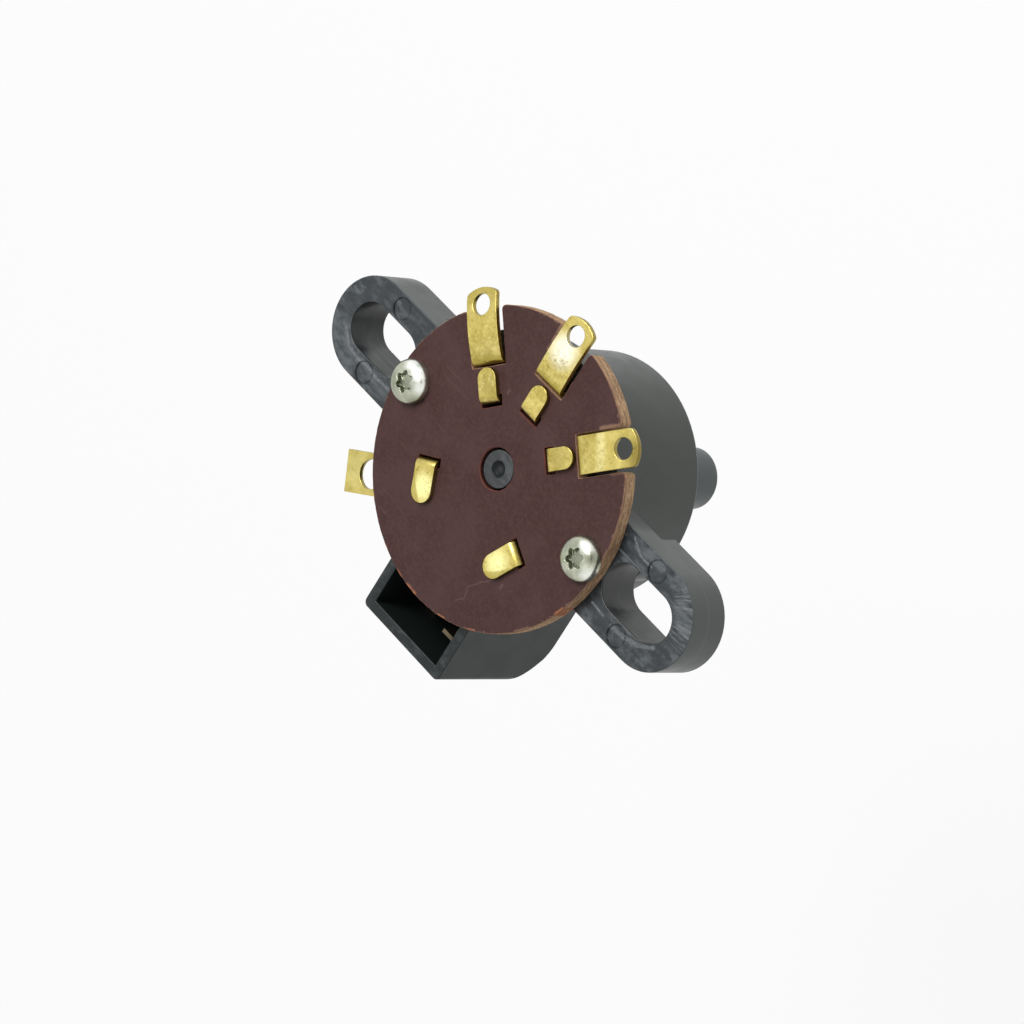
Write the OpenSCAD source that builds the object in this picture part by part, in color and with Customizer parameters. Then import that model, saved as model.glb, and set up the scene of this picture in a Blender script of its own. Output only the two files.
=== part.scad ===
// Rotary fan switch: off and three speeds, 45 degrees apart.
// The origin lies on the shaft axis, in the face of the ears that seats on the panel. The shaft points
// down and the solder lugs are on top. The ears lie along X and the spring pocket lies towards -Y.

/* [Cup] */
// Space between the rotor drum and the cup wall
drum_space = 0.9; // [0.8:0.05:1]
// Wall of the cup
cup_wall = 1.2; // [0.9:0.1:1.3]
// Height of the cup from its mouth to its far face
cup_h = 13.8; // [13.4:0.1:16]
// Floor of the cup
floor_t = 1.5; // [1:0.1:1.8]
// Rounding of the far edge of the cup
cup_edge_r = 0.4; // [0.2:0.1:0.8]
// Width of the flange round the mouth of the cup
flange_w = 1.3; // [0.9:0.1:1.6]
// Thickness of the flange and of the ear webs
web_t = 2.7; // [2:0.1:3.5]
// Height of the shaft bearing above the cup floor
bearing_h = 2; // [1:0.1:2]
// Wall of the shaft bearing
bearing_wall = 1.5; // [1:0.1:2]

/* [Ears] */
// Distance between the centres of the two mounting slots
slot_spacing = 38.8; // [38:0.2:42]
// Width of a mounting slot
slot_w = 4.8; // [4.2:0.1:5.4]
// Length of a mounting slot over its round ends
slot_len = 8.8; // [7:0.1:9]
// Width of an ear
ear_w = 10; // [9:0.2:12]
// Thickness of the pad round a slot, from the seat to the plate
ear_t = 4.7; // [4.4:0.1:6]
// Wall beyond the outer end of a slot
ear_end_wall = 2.4; // [1.5:0.1:3]
// Distance from the slot centre to where the full-width pad starts
pad_lead = 3.1; // [2.6:0.1:3.6]
// Wall of the pad round the inner end of a slot
pad_inner_wall = 1.2; // [0.9:0.1:1.6]
// Diameter of an ejector mark on an ear
ejector_d = 2.1; // [1.4:0.1:2.3]
// Distance from the slot centre to an ejector mark, towards the shaft
ejector_lead = 0; // [0:0.1:1]
// Depth of an ejector mark
ejector_depth = 0.08; // [0.05:0.01:0.2]

/* [Spring pocket] */
// Inside width of the spring pocket
pocket_in_w = 9.4; // [9:0.1:10]
// Side wall of the spring pocket
pocket_side_wall = 1.1; // [0.8:0.1:1.3]
// End wall of the spring pocket
pocket_end_wall = 1.1; // [0.8:0.1:1.3]
// Distance from the shaft axis to the outside of the end wall
pocket_reach = 20.3; // [20:0.1:21]
// Rounding of the outer low corner of the pocket
pocket_corner_r = 4.5; // [3:0.1:5]
// Rounding of the upright corners of the pocket
pocket_plan_r = 0.6; // [0.3:0.1:1]

/* [Terminal plate] */
// Radius of the terminal plate
plate_r = 15; // [14.6:0.1:15.4]
// Thickness of the terminal plate
plate_t = 1.5; // [1.2:0.1:2]
// Diameter of the pilot hole in the plate
pilot_hole_d = 3.9; // [3.8:0.1:4.4]
// Width of a rim notch
notch_w = 3.9; // [3.7:0.1:4.4]
// Rounding of the rim corners of a notch
notch_corner_r = 0.5; // [0.2:0.1:0.8]

/* [Terminals] */
// Thickness of the brass strip
strip_t = 0.5; // [0.4:0.05:0.6]
// Bend radius at the middle of the strip
bend_r = 0.4; // [0.32:0.02:0.5]
// Width of a speed lug
lug_w = 3.5; // [3:0.1:3.6]
// Distance from the cup wall to the middle of a rising lug
lug_inset = 0.45; // [0.4:0.05:0.5]
// Overhang of a speed lug beyond the plate
lug_over = 1.7; // [1:0.1:3]
// Radius of the rounded end of a speed lug
lug_end_r = 3; // [2:0.1:4]
// Rounding of the corners at the end of a speed lug
lug_corner_r = 0.5; // [0.2:0.05:0.7]
// Height of the crest of a lug above the plate, to the top of the strip
lug_crest_h = 0.56; // [0.4:0.01:0.8]
// Distance from the rim of the plate to the crest of a lug
lug_crest_in = 2; // [1:0.1:3]
// Radius of the downward bow of speed lug 1
lug_bow_1 = 30; // [10:1:60]
// Radius of the downward bow of speed lug 2
lug_bow_2 = 30; // [10:1:60]
// Radius of the downward bow of speed lug 3
lug_bow_3 = 16; // [10:1:60]
// Diameter of the solder hole in a speed lug
lug_hole_d = 2; // [1.5:0.1:2.4]
// Distance from the end of a speed lug to its solder hole
lug_hole_in = 1.6; // [1.5:0.1:2.2]
// Width of a folded speed tab
tab_w = 2.1; // [1.8:0.1:2.4]
// Distance from a speed contact in to the middle of the rising tab
tab_in = 1.72; // [1.6:0.02:1.8]
// Distance from a speed contact out to the tip of the folded tab
tab_out = 1.3; // [1:0.05:1.35]
// Width of the common lug
common_w = 4; // [3.4:0.1:4.2]
// Direction of the common lug
common_a = 211; // [209:0.5:213]
// Sideways offset of the common lug from the shaft axis
common_offset = 2.5; // [2.3:0.1:2.8]
// Reach of the square end of the common lug beyond the plate radius, along the lug
common_over = 4.75; // [4:0.05:6]
// Droop of the end of the common lug
common_droop = 0.5; // [0.1:0.05:0.8]
// Flat stretch of the common lug beyond the flange
common_flat = 0.4; // [0.2:0.1:1]
// Distance from the square end of the common lug to its solder hole
common_hole_in = 3.2; // [2.6:0.1:4]
// Diameter of the solder hole in the common lug
common_hole_d = 2.8; // [2:0.1:3]
// Width of an anchor tab of the common terminal
anchor_w = 2.35; // [2:0.05:2.5]
// Length of a folded anchor tab from the middle of its slot
anchor_len = 3.9; // [3.4:0.1:4.2]
// Half angle between the two anchor slots, measured from -Y
anchor_half_a = 57; // [56:0.5:58]
// Distance from the circle of the contacts out to an anchor slot
anchor_out = 0.1; // [0:0.05:0.2]
// Turn of an anchor slot from the radial direction
anchor_skew_a = 6; // [0:1:8]

/* [Contacts] */
// Distance from the shaft axis to the contacts
contact_r = 8; // [7.9:0.05:8.1]
// Diameter of a silver contact
contact_d = 2.4; // [2:0.1:2.6]
// Height of a silver contact head
contact_h = 0.5; // [0.4:0.05:0.55]
// Diameter of a contact rivet shank
contact_shank_d = 1.2; // [1:0.1:1.4]
// Gap between a moving and a fixed contact as modelled
contact_gap = 0.05; // [0.03:0.01:0.1]
// Thickness of the contact bridge
bridge_t = 0.5; // [0.4:0.05:0.6]
// Width of the contact bridge
bridge_w = 3; // [2.8:0.1:3.2]
// Bridge length beyond the centre of a contact
bridge_end = 1.4; // [1.3:0.1:1.5]
// Width of the common strip inside the circle of the contacts
arc_in_w = 1.4; // [1.3:0.1:1.6]
// Width of the common strip outside the circle of the contacts
arc_out_w = 1.6; // [1.4:0.1:1.8]
// Outside diameter of a contact spring
spring_d = 2.9; // [2.6:0.1:3.1]
// Wire of a contact spring
spring_wire = 0.35; // [0.25:0.05:0.4]
// Free turns of a contact spring
spring_turns = 5; // [4:1:6]
// Distance from a moving contact in to its contact spring
spring_in = 2.4; // [2.2:0.1:2.5]
// Clearance round a contact spring
spring_side = 0.2; // [0.1:0.05:0.3]
// Depth of a spring pocket in the drum
spring_seat = 3.8; // [3:0.1:4.5]

/* [Rotor] */
// Diameter of the shaft
shaft_d = 6; // [5.5:0.1:6.5]
// Diameter of the shaft in its bearing
bearing_d = 7; // [6.6:0.1:7.4]
// Shaft length beyond the far face of the cup
shaft_out = 14.4; // [12:0.1:20]
// Chamfer at the end of the shaft
shaft_chamfer = 0.5; // [0.3:0.1:0.8]
// Length of the flat on the shaft
flat_len = 10; // [8:0.5:11]
// Draft of the shaft radius over the length of its flat
shaft_draft = 0.05; // [0.02:0.01:0.1]
// Thickness of the shaft across its flat
flat_thick = 4.5; // [4:0.1:5]
// Direction that the flat faces
flat_a = 225; // [0:5:360]
// Depth of a detent notch
detent_depth = 1; // [0.6:0.05:1]
// Radius of a detent notch
detent_notch_r = 2.2; // [2:0.05:2.4]
// Diameter of the pilot journal in the plate
journal_d = 3.55; // [3.3:0.05:3.6]
// Depth of the journal face below the plate face
journal_low = 0.25; // [0.1:0.05:0.5]
// Diameter of the dimple in the journal
dimple_d = 1.55; // [1:0.05:2]
// Depth of the dimple
dimple_depth = 0.3; // [0.1:0.05:0.6]
// Width of the rail beside the contact bridge
rail_w = 1.2; // [0.8:0.1:1.4]
// Distance from the hub of the bridge to a rail
rail_lead = 0.9; // [0.7:0.1:1.1]
// Wall of the contact bridge round the journal
hub_wall = 1.4; // [1.2:0.1:1.6]
// Distance from the bearing to the stop
stop_space = 0.7; // [0.5:0.1:0.9]
// Width of the stop
stop_w = 2.4; // [1.8:0.1:2.6]
// Overhang of a rail lip above the bridge
lip_over = 0.35; // [0.2:0.05:0.5]
// Height of a rail lip
lip_h = 0.3; // [0.2:0.05:0.35]
// Travel from off to the third speed
travel_a = 135; // [135:45:135]

/* [Detent spring] */
// Thickness of the detent spring strip
leaf_t = 0.4; // [0.3:0.05:0.5]
// Outside radius of the nose of the detent spring
nose_r = 1.6; // [1.4:0.05:1.8]
// Distance from the plate to the top edge of the detent spring
leaf_low = 6.7; // [6.4:0.1:7.2]
// Distance from the plate to the top of the locating tab
leaf_tab_low = 1.5; // [1.2:0.1:2]
// Distance from the shaft plane to the inner side of the locating tab
leaf_tab_x = 2.4; // [2.2:0.1:3]
// Distance between the wings and the base of the detent spring
wing_rise = 2.1; // [1.8:0.1:2.6]
// Length of a turned-back end of the detent spring
leaf_end = 1.8; // [1.4:0.1:2.4]

/* [Plate screws] */
// Distance from the rim of the plate to a plate screw
screw_in = 2; // [1.9:0.05:2.1]
// Diameter of the screw head
screw_head_d = 4.3; // [3.8:0.1:4.5]
// Height of the screw head
screw_head_h = 1.3; // [1:0.1:1.6]
// Diameter of the screw thread
screw_d = 2.2; // [2:0.1:2.4]
// Length of the screw under its head
screw_len = 6.5; // [5:0.5:7]
// Radius of the boss round a screw
boss_r = 1.9; // [1.8:0.1:2]
// Depth of the boss below the mouth
boss_h = 7; // [7:0.1:8]

/* [Clearances] */
// Radial clearance of the shaft in its bearing
bearing_gap = 0.05; // [0.03:0.01:0.1]
// Axial clearance above the shaft bearing
end_gap = 0.2; // [0.1:0.05:0.3]
// Clearance of the strip in the plate slots
slot_gap = 0.15; // [0.1:0.05:0.25]
// Clearance of the nose of the detent spring in its notch
nose_gap = 0.05; // [0.03:0.01:0.1]
// Clearance of the bridge over the drum and below the lips
bridge_gap = 0.1; // [0.05:0.05:0.15]
// Clearance of a screw in the plate
screw_gap = 0.15; // [0.1:0.05:0.3]

/* [Hidden] */
$fn = 64;
eps = 0.01;
step_a = 45;
detents = 360 / step_a;

// Levels along the shaft axis
mouth_z = ear_t;
plate_top_z = mouth_z + plate_t;
cup_far_z = mouth_z - cup_h;
floor_z = cup_far_z + floor_t;
web_z = mouth_z - web_t;
strip_low_z = mouth_z - strip_t;
strip_mid_z = mouth_z - strip_t / 2;
fixed_tip_z = strip_low_z - contact_h;
moving_tip_z = fixed_tip_z - contact_gap;
bridge_top_z = moving_tip_z - contact_h;
bridge_low_z = bridge_top_z - bridge_t;
drum_top_z = bridge_low_z - 4 * bridge_gap;
bearing_top_z = floor_z + bearing_h;
drum_low_z = bearing_top_z + end_gap;
shaft_end_z = cup_far_z - shaft_out;
journal_top_z = plate_top_z - journal_low;

// Radii that follow the circle of the contacts
drum_r = contact_r + bridge_end;
cup_in_r = drum_r + drum_space;
cup_r = cup_in_r + cup_wall;
flange_r = cup_r + flange_w;
lug_rise_r = cup_in_r - lug_inset;
notch_r = lug_rise_r - strip_t / 2 - slot_gap;
tab_rise_r = contact_r - tab_in;
tab_tip_r = contact_r + tab_out;
anchor_r = contact_r + anchor_out;
spring_r = contact_r - spring_in;

// Radii that follow the plate
lug_tip_r = plate_r + lug_over;
lug_hole_r = lug_tip_r - lug_hole_in;
lug_crest_r = plate_r - lug_crest_in;
common_end = plate_r + common_over;
screw_r = plate_r - screw_in;

// Ears
slot_x = slot_spacing / 2;
slot_r = slot_w / 2;
slot_end_x = slot_len / 2 - slot_r;
ear_r = ear_w / 2;
ear_tip_x = slot_x + slot_len / 2 + ear_end_wall;
ejector_y = (ear_r + slot_r) / 2;

// Pocket
pocket_in_x = pocket_in_w / 2;
pocket_out_x = pocket_in_x + pocket_side_wall;
pocket_in_y = pocket_reach - pocket_end_wall;
pocket_in_corner_r = pocket_corner_r - pocket_end_wall;

// Slots of the tabs in the plate
fold_gap = max(slot_gap, bend_r - strip_t / 2);
tab_slot_in_r = tab_rise_r - strip_t / 2 - 2 * slot_gap;
tab_slot_out_r = tab_rise_r + strip_t / 2 + fold_gap;
lug_crest_z = plate_top_z + lug_crest_h - strip_t / 2;
rim_slot_w = common_w + 2 * slot_gap;

// Common terminal
arc_in_r = contact_r - arc_in_w;
arc_out_r = contact_r + arc_out_w;
common_hole_s = common_end - common_hole_in;
common_bend_s = flange_r + common_flat;
common_path = [[common_bend_s, strip_mid_z],
    [common_end, strip_mid_z - common_droop]];

// Detent
notch_centre_r = drum_r - detent_depth + detent_notch_r;
nose_tip_r = drum_r - detent_depth + nose_gap;
nose_centre_r = nose_tip_r + nose_r;
leg_x = nose_r - leaf_t / 2;
base_y = pocket_in_y - leaf_t / 2 - nose_gap;
wing_y = base_y - wing_rise;
wing_x = pocket_in_x - leaf_t / 2 - nose_gap;
leaf_bend_r = 1.5 * leaf_t;
leaf_top_z = mouth_z - leaf_low;
leaf_tab_z = mouth_z - leaf_tab_low;
leaf_drop = sqrt(pow(pocket_in_corner_r, 2) - pow(pocket_in_corner_r - nose_gap, 2));
leaf_low_z = floor_z + pocket_in_corner_r - leaf_drop + nose_gap;

// Stop between the rotor and the cup floor
bearing_r = bearing_d / 2 + bearing_gap;
stop_in_r = bearing_r + bearing_wall + stop_space;
stop_out_r = stop_in_r + stop_w;
stop_half_a = 8;
stop_start_a = 22.5;
stop_play_a = 0.5;

// Bridge
spring_pocket_r = spring_d / 2 + spring_side;
spring_pocket_z = drum_top_z - spring_seat;
bridge_hub_r = journal_d / 2 + hub_wall;
rail_in_x = bridge_hub_r + rail_lead;
rail_out_x = contact_r - contact_d / 2 + 0.2;
rail_in_y = bridge_w / 2 + bridge_gap;
lip_z = bridge_top_z + bridge_gap / 2;

// Points of an arc about c, from angle a0 to angle a1
function arc(c, r, a0, a1, n = 6) =
    [for (i = [0 : n]) c + r * [cos(a0 + (a1 - a0) * i / n), sin(a0 + (a1 - a0) * i / n)]];

// Turns corner b of the path a-b-c into an arc of radius r that touches both legs
function fillet(a, b, c, r) =
    let (u = (a - b) / norm(a - b), v = (c - b) / norm(c - b))
    let (half = acos(max(-1, min(1, u * v))) / 2)
    let (m = (u + v) / norm(u + v), centre = b + m * r / sin(half))
    let (p = b + u * r / tan(half) - centre, q = b + v * r / tan(half) - centre)
    let (a0 = atan2(p[1], p[0]), turn = atan2(p[0] * q[1] - p[1] * q[0], p * q))
    arc(centre, r, a0, a0 + turn);

// A path whose inner corners are all rounded by the same radius
function rounded(p, r) =
    concat([p[0]], [for (i = [1 : len(p) - 2]) each fillet(p[i - 1], p[i], p[i + 1], r)], [p[len(p) - 1]]);

// Direction of leg i of a path, from point i - 1 to point i
function leg(p, i) = (p[i] - p[i - 1]) / norm(p[i] - p[i - 1]);

// Step from point i of a path to the mitred side line, for a strip of half thickness 1
function side_step(p, i) =
    let (u = leg(p, max(i, 1)), v = leg(p, min(i + 1, len(p) - 1)))
    [-u[1] - v[1], u[0] + v[0]] / (1 + u * v);

// A path without its doubled points
function clean(p) = [for (i = [0 : len(p) - 1]) if (i == 0 || norm(p[i] - p[i - 1]) > eps) p[i]];

// Outline of a strip of thickness t whose middle follows a path
function ribbon(path, t) =
    let (p = clean(path), last = len(p) - 1)
    let (n = [for (i = [0 : last]) side_step(p, i)])
    concat([for (i = [0 : last]) p[i] + n[i] * t / 2], [for (i = [last : -1 : 0]) p[i] - n[i] * t / 2]);

// A strip bent in the XZ plane and w wide along Y
module bent_strip(path, w)
    translate([0, w / 2, 0]) rotate([90, 0, 0]) linear_extrude(w) polygon(ribbon(path, strip_t));

module at_angle(a) rotate([0, 0, a]) children();

// Places children at both ears
module both_ends()
    for (side = [1, -1]) scale_x(side) children();

module scale_x(side)
    if (side > 0) children();
    else rotate([0, 0, 180]) children();

module slot_outline(r, half) {
    translate([-half, 0]) circle(r);
    translate([half, 0]) circle(r);
    translate([-half, -r]) square([2 * half, 2 * r]);
}

module ear_outline() {
    translate([0, -ear_r]) square([ear_tip_x - ear_r, ear_w]);
    translate([ear_tip_x - ear_r, 0]) circle(ear_r);
}

module pad_outline() {
    intersection() {
        ear_outline();
        translate([slot_x - pad_lead, -ear_r]) square([ear_w + slot_len, ear_w]);
    }
    translate([slot_x - slot_end_x, 0]) circle(slot_r + pad_inner_wall);
}

// Side view of the pocket, X towards its end wall and Y up, with its outer low corner rounded
module pocket_profile(reach, low, corner) {
    translate([0, low + corner]) square([reach, mouth_z - low - corner]);
    translate([0, low]) square([reach - corner, corner + eps]);
    translate([reach - corner, low + corner]) circle(corner);
}

module pocket_block(reach, low, corner, half_w)
    rotate([90, 0, -90]) translate([0, 0, -half_w]) linear_extrude(2 * half_w)
        pocket_profile(reach, low, corner);

// Plan of the pocket, with its two outer corners rounded
module pocket_plan() {
    translate([-pocket_out_x, pocket_plan_r - pocket_reach]) square([2 * pocket_out_x, pocket_reach]);
    translate([pocket_plan_r - pocket_out_x, -pocket_reach])
        square([2 * (pocket_out_x - pocket_plan_r), pocket_plan_r + eps]);
    for (side = [1, -1])
        translate([side * (pocket_out_x - pocket_plan_r), pocket_plan_r - pocket_reach])
            circle(pocket_plan_r);
}

module cup_outside() {
    rotate_extrude($fn = 96) {
        translate([0, cup_far_z + cup_edge_r]) square([cup_r, cup_h - cup_edge_r]);
        translate([0, cup_far_z]) square([cup_r - cup_edge_r, cup_edge_r + eps]);
        translate([cup_r - cup_edge_r, cup_far_z + cup_edge_r]) circle(cup_edge_r);
    }
    translate([0, 0, web_z]) cylinder(r = flange_r, h = web_t);
}

module common_lug_cut()
    at_angle(common_a) translate([0, common_offset - rim_slot_w / 2, strip_low_z - slot_gap / 3])
        cube([common_end, rim_slot_w, strip_t + slot_gap]);

module stop_rib()
    translate([0, 0, floor_z - eps]) rotate([0, 0, stop_start_a + travel_a + stop_half_a + stop_play_a])
        rotate_extrude(angle = 360 - travel_a - 2 * (stop_half_a + stop_play_a))
            translate([stop_in_r, 0]) square([stop_out_r - stop_in_r, bearing_h - 0.6]);

module housing() {
    color([0.19, 0.2, 0.21]) difference() {
        union() {
            cup_outside();
            both_ends() {
                translate([0, 0, web_z]) linear_extrude(web_t) ear_outline();
                linear_extrude(ear_t) pad_outline();
                translate([screw_r, 0, mouth_z - boss_h]) cylinder(r = boss_r, h = boss_h);
            }
            intersection() {
                pocket_block(pocket_reach, cup_far_z, pocket_corner_r, pocket_out_x);
                translate([0, 0, cup_far_z - eps]) linear_extrude(cup_h + 2 * eps) pocket_plan();
            }
        }
        difference() {
            translate([0, 0, floor_z]) cylinder(r = cup_in_r, h = cup_h, $fn = 96);
            translate([0, 0, floor_z - eps])
                cylinder(r = bearing_r + bearing_wall, h = bearing_h + eps);
            stop_rib();
        }
        translate([0, 0, eps]) difference() {
            pocket_block(pocket_in_y, floor_z, pocket_in_corner_r, pocket_in_x);
            translate([0, 0, floor_z - 1]) cylinder(r = cup_in_r - eps, h = cup_h + 2);
        }
        both_ends() {
            translate([slot_x, 0, -eps]) linear_extrude(ear_t + 2 * eps) slot_outline(slot_r, slot_end_x);
            translate([screw_r, 0, mouth_z - screw_len]) cylinder(d = screw_d, h = screw_len + eps);
            for (side = [1, -1])
                translate([slot_x - ejector_lead, side * ejector_y, mouth_z - ejector_depth])
                    cylinder(d = ejector_d, h = ejector_depth + eps);
        }
        translate([0, 0, cup_far_z - 1]) cylinder(r = bearing_r, h = floor_t + bearing_h + 2);
        common_lug_cut();
    }
}

module rim_notch() {
    translate([notch_r, -notch_w / 2]) square([plate_r, notch_w]);
    for (side = [1, -1])
        translate([sqrt(pow(plate_r, 2) - pow(notch_w / 2, 2)) - notch_corner_r, side * notch_w / 2])
            difference() {
                translate([0, min(0, side) * notch_corner_r]) square([2 * notch_corner_r, notch_corner_r]);
                translate([0, side * notch_corner_r]) circle(notch_corner_r);
            }
}

module anchor_frame(side)
    rotate([0, 0, -90 - side * anchor_half_a]) translate([anchor_r, 0, 0])
        rotate([0, 0, side * (90 - anchor_skew_a)]) children();

module terminal_plate() {
    color([0.34, 0.2, 0.2]) translate([0, 0, mouth_z]) linear_extrude(plate_t) difference() {
        circle(plate_r, $fn = 128);
        circle(d = pilot_hole_d);
        for (k = [1 : 3]) rotate(k * step_a) {
            rim_notch();
            translate([tab_slot_in_r, -tab_w / 2 - slot_gap])
                square([tab_slot_out_r - tab_slot_in_r, tab_w + 2 * slot_gap]);
        }
        for (side = [1, -1]) {
            anchor_frame(side) translate([-strip_t / 2 - slot_gap, -anchor_w / 2 - slot_gap])
                square([strip_t + slot_gap + fold_gap, anchor_w + 2 * slot_gap]);
            translate([side * screw_r, 0]) circle(d = screw_d + 2 * screw_gap);
        }
    }
}

// Strip path of a folded tab that rises at x = 0 and is folded towards +X, up to its tip
function tab_path(rise_x, tip_x, foot) = rounded([
    [rise_x + foot, strip_mid_z],
    [rise_x, strip_mid_z],
    [rise_x, plate_top_z + strip_t / 2],
    [tip_x, plate_top_z + strip_t / 2]
], bend_r);

// Strip path of a speed lug: base, riser and the bowed lug
function bow_z(x, bow) = lug_crest_z - bow + sqrt(bow * bow - pow(x - lug_crest_r, 2));
function lug_path(bow) =
    let (corner = [lug_rise_r, bow_z(lug_rise_r, bow)], far = lug_tip_r + 0.5, n = 12)
    let (start = lug_rise_r + 2 * bend_r)
    concat(
        rounded([[tab_rise_r + 2 * bend_r, strip_mid_z], [lug_rise_r, strip_mid_z], corner,
            [start, bow_z(start, bow)]], bend_r),
        [for (i = [1 : n]) let (x = start + (far - start) * i / n) [x, bow_z(x, bow)]]);

// Plan of a speed lug, its end an arc with rounded corners
module lug_outline() {
    centre_x = lug_tip_r - lug_end_r;
    corner_y = lug_w / 2 - lug_corner_r;
    corner_x = centre_x + sqrt(pow(lug_end_r - lug_corner_r, 2) - pow(corner_y, 2));
    wedge_x = 2 * corner_x - centre_x;
    translate([0, -lug_w / 2]) square([corner_x, lug_w]);
    for (side = [1, -1]) translate([corner_x, side * corner_y]) circle(lug_corner_r);
    intersection() {
        translate([centre_x, 0]) circle(lug_end_r);
        polygon([[centre_x, 0], [wedge_x, -2 * corner_y], [wedge_x, 2 * corner_y]]);
    }
}

module speed_terminal(k, bow) {
    color([0.83, 0.68, 0.3]) at_angle(k * step_a) difference() {
        union() {
            intersection() {
                bent_strip(tab_path(tab_rise_r, tab_tip_r, 3 * bend_r), tab_w);
                union() {
                    translate([0, -tab_w / 2, 0]) cube([tab_tip_r - tab_w / 2, tab_w, 2 * mouth_z]);
                    translate([tab_tip_r - tab_w / 2, 0, 0]) cylinder(d = tab_w, h = 2 * mouth_z);
                }
            }
            intersection() {
                bent_strip(lug_path(bow), lug_w);
                linear_extrude(2 * mouth_z) lug_outline();
            }
        }
        translate([lug_hole_r, 0, mouth_z]) cylinder(d = lug_hole_d, h = mouth_z);
        translate([contact_r, 0, mouth_z - 1]) cylinder(d = contact_shank_d, h = 1 + eps);
    }
}

// A domed contact rivet at the origin, its head on top and its shank below, flush with the far side
module contact_rivet(sheet_t) {
    dome_h = contact_h * 0.4;
    dome_r = (pow(contact_d / 2, 2) + pow(dome_h, 2)) / (2 * dome_h);
    cylinder(d = contact_d, h = contact_h - dome_h);
    intersection() {
        translate([0, 0, contact_h - dome_r]) sphere(dome_r);
        cylinder(d = contact_d, h = contact_h);
    }
    translate([0, 0, -sheet_t]) cylinder(d = contact_shank_d, h = sheet_t + eps);
}

module fixed_contact(a)
    color([0.8, 0.8, 0.82]) at_angle(a) translate([contact_r, 0, strip_low_z])
        rotate([180, 0, 0]) contact_rivet(strip_t);

module moving_contact(a)
    color([0.8, 0.8, 0.82]) at_angle(a) translate([contact_r, 0, bridge_top_z]) contact_rivet(bridge_t);

module common_arc_outline() intersection() {
    difference() {
        circle(arc_out_r);
        circle(arc_in_r);
    }
    polygon([[0, 0], for (a = [-anchor_half_a : anchor_half_a / 2 : anchor_half_a])
        2 * arc_out_r * [sin(a), -cos(a)]]);
}

module anchor_tab(side)
    anchor_frame(side) intersection() {
        bent_strip(tab_path(0, anchor_len, 4 * bend_r), anchor_w);
        union() {
            translate([-strip_t, -anchor_w / 2, 0])
                cube([strip_t + anchor_len - anchor_w / 2, anchor_w, 2 * mouth_z]);
            translate([anchor_len - anchor_w / 2, 0, 0]) cylinder(d = anchor_w, h = 2 * mouth_z);
        }
    }

module common_terminal() {
    color([0.83, 0.68, 0.3]) difference() {
        union() {
            translate([0, 0, strip_low_z]) linear_extrude(strip_t) {
                common_arc_outline();
                rotate(common_a) translate([contact_r, common_offset - common_w / 2])
                    square([common_bend_s + strip_t / 10 - contact_r, common_w]);
            }
            at_angle(common_a) translate([0, common_offset, 0]) bent_strip(common_path, common_w);
            for (side = [1, -1]) anchor_tab(side);
        }
        for (k = [-1 : 1]) at_angle(k * step_a - 90) translate([contact_r, 0, strip_low_z - eps])
            cylinder(d = contact_shank_d, h = strip_t + 2 * eps);
        at_angle(common_a) translate([common_hole_s, common_offset, strip_low_z - common_droop])
            cylinder(d = common_hole_d, h = strip_t + common_droop + eps);
    }
}

module rail(side)
    translate([0, side * rail_in_y, 0]) scale_x(side) for (x0 = [rail_in_x, -rail_out_x]) {
        translate([x0, 0, drum_top_z - eps])
            cube([rail_out_x - rail_in_x, rail_w, lip_z + lip_h - drum_top_z + eps]);
        translate([x0, -lip_over - bridge_gap, lip_z])
            cube([rail_out_x - rail_in_x, lip_over + bridge_gap + eps, lip_h]);
    }

module rotor() {
    color([0.17, 0.18, 0.19]) difference() {
        union() {
            translate([0, 0, shaft_end_z + flat_len])
                cylinder(d = shaft_d, h = drum_low_z - shaft_end_z - flat_len + eps);
            translate([0, 0, shaft_end_z + shaft_chamfer])
                cylinder(d1 = shaft_d - 2 * shaft_draft, d2 = shaft_d, h = flat_len - shaft_chamfer);
            translate([0, 0, cup_far_z]) cylinder(d = bearing_d, h = drum_low_z - cup_far_z + eps);
            translate([0, 0, shaft_end_z])
                cylinder(d1 = shaft_d - 2 * (shaft_draft + shaft_chamfer), d2 = shaft_d - 2 * shaft_draft,
                    h = shaft_chamfer);
            translate([0, 0, drum_low_z]) cylinder(r = drum_r, h = drum_top_z - drum_low_z, $fn = 96);
            translate([0, 0, drum_top_z - eps])
                cylinder(d = journal_d, h = journal_top_z - drum_top_z + eps);
            for (side = [1, -1]) rail(side);
            rotate([0, 0, stop_start_a - stop_half_a]) translate([0, 0, drum_low_z - bearing_h + 0.5])
                rotate_extrude(angle = 2 * stop_half_a)
                    translate([stop_in_r, 0]) square([stop_out_r - stop_in_r, bearing_h]);
        }
        for (i = [0 : detents - 1]) at_angle(i * step_a) translate([notch_centre_r, 0, drum_low_z - eps])
            cylinder(r = detent_notch_r, h = drum_top_z - drum_low_z + 2 * eps);
        for (side = [1, -1]) translate([side * spring_r, 0, spring_pocket_z])
            cylinder(r = spring_pocket_r, h = bridge_low_z - spring_pocket_z);
        at_angle(flat_a) translate([flat_thick - shaft_d / 2, -shaft_d / 2 - eps, shaft_end_z - eps])
            cube([shaft_d, shaft_d + 2 * eps, flat_len + eps]);
        translate([0, 0, journal_top_z - dimple_depth])
            cylinder(d1 = dimple_d * 0.65, d2 = dimple_d, h = dimple_depth + eps);
    }
}

module contact_bridge() {
    reach = contact_r + bridge_end;
    color([0.8, 0.62, 0.3]) translate([0, 0, bridge_low_z]) linear_extrude(bridge_t) difference() {
        union() {
            square([2 * reach, bridge_w], center = true);
            circle(bridge_hub_r);
        }
        circle(d = journal_d + 2 * bridge_gap);
        for (side = [1, -1]) translate([side * contact_r, 0]) circle(d = contact_shank_d);
    }
}

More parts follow.
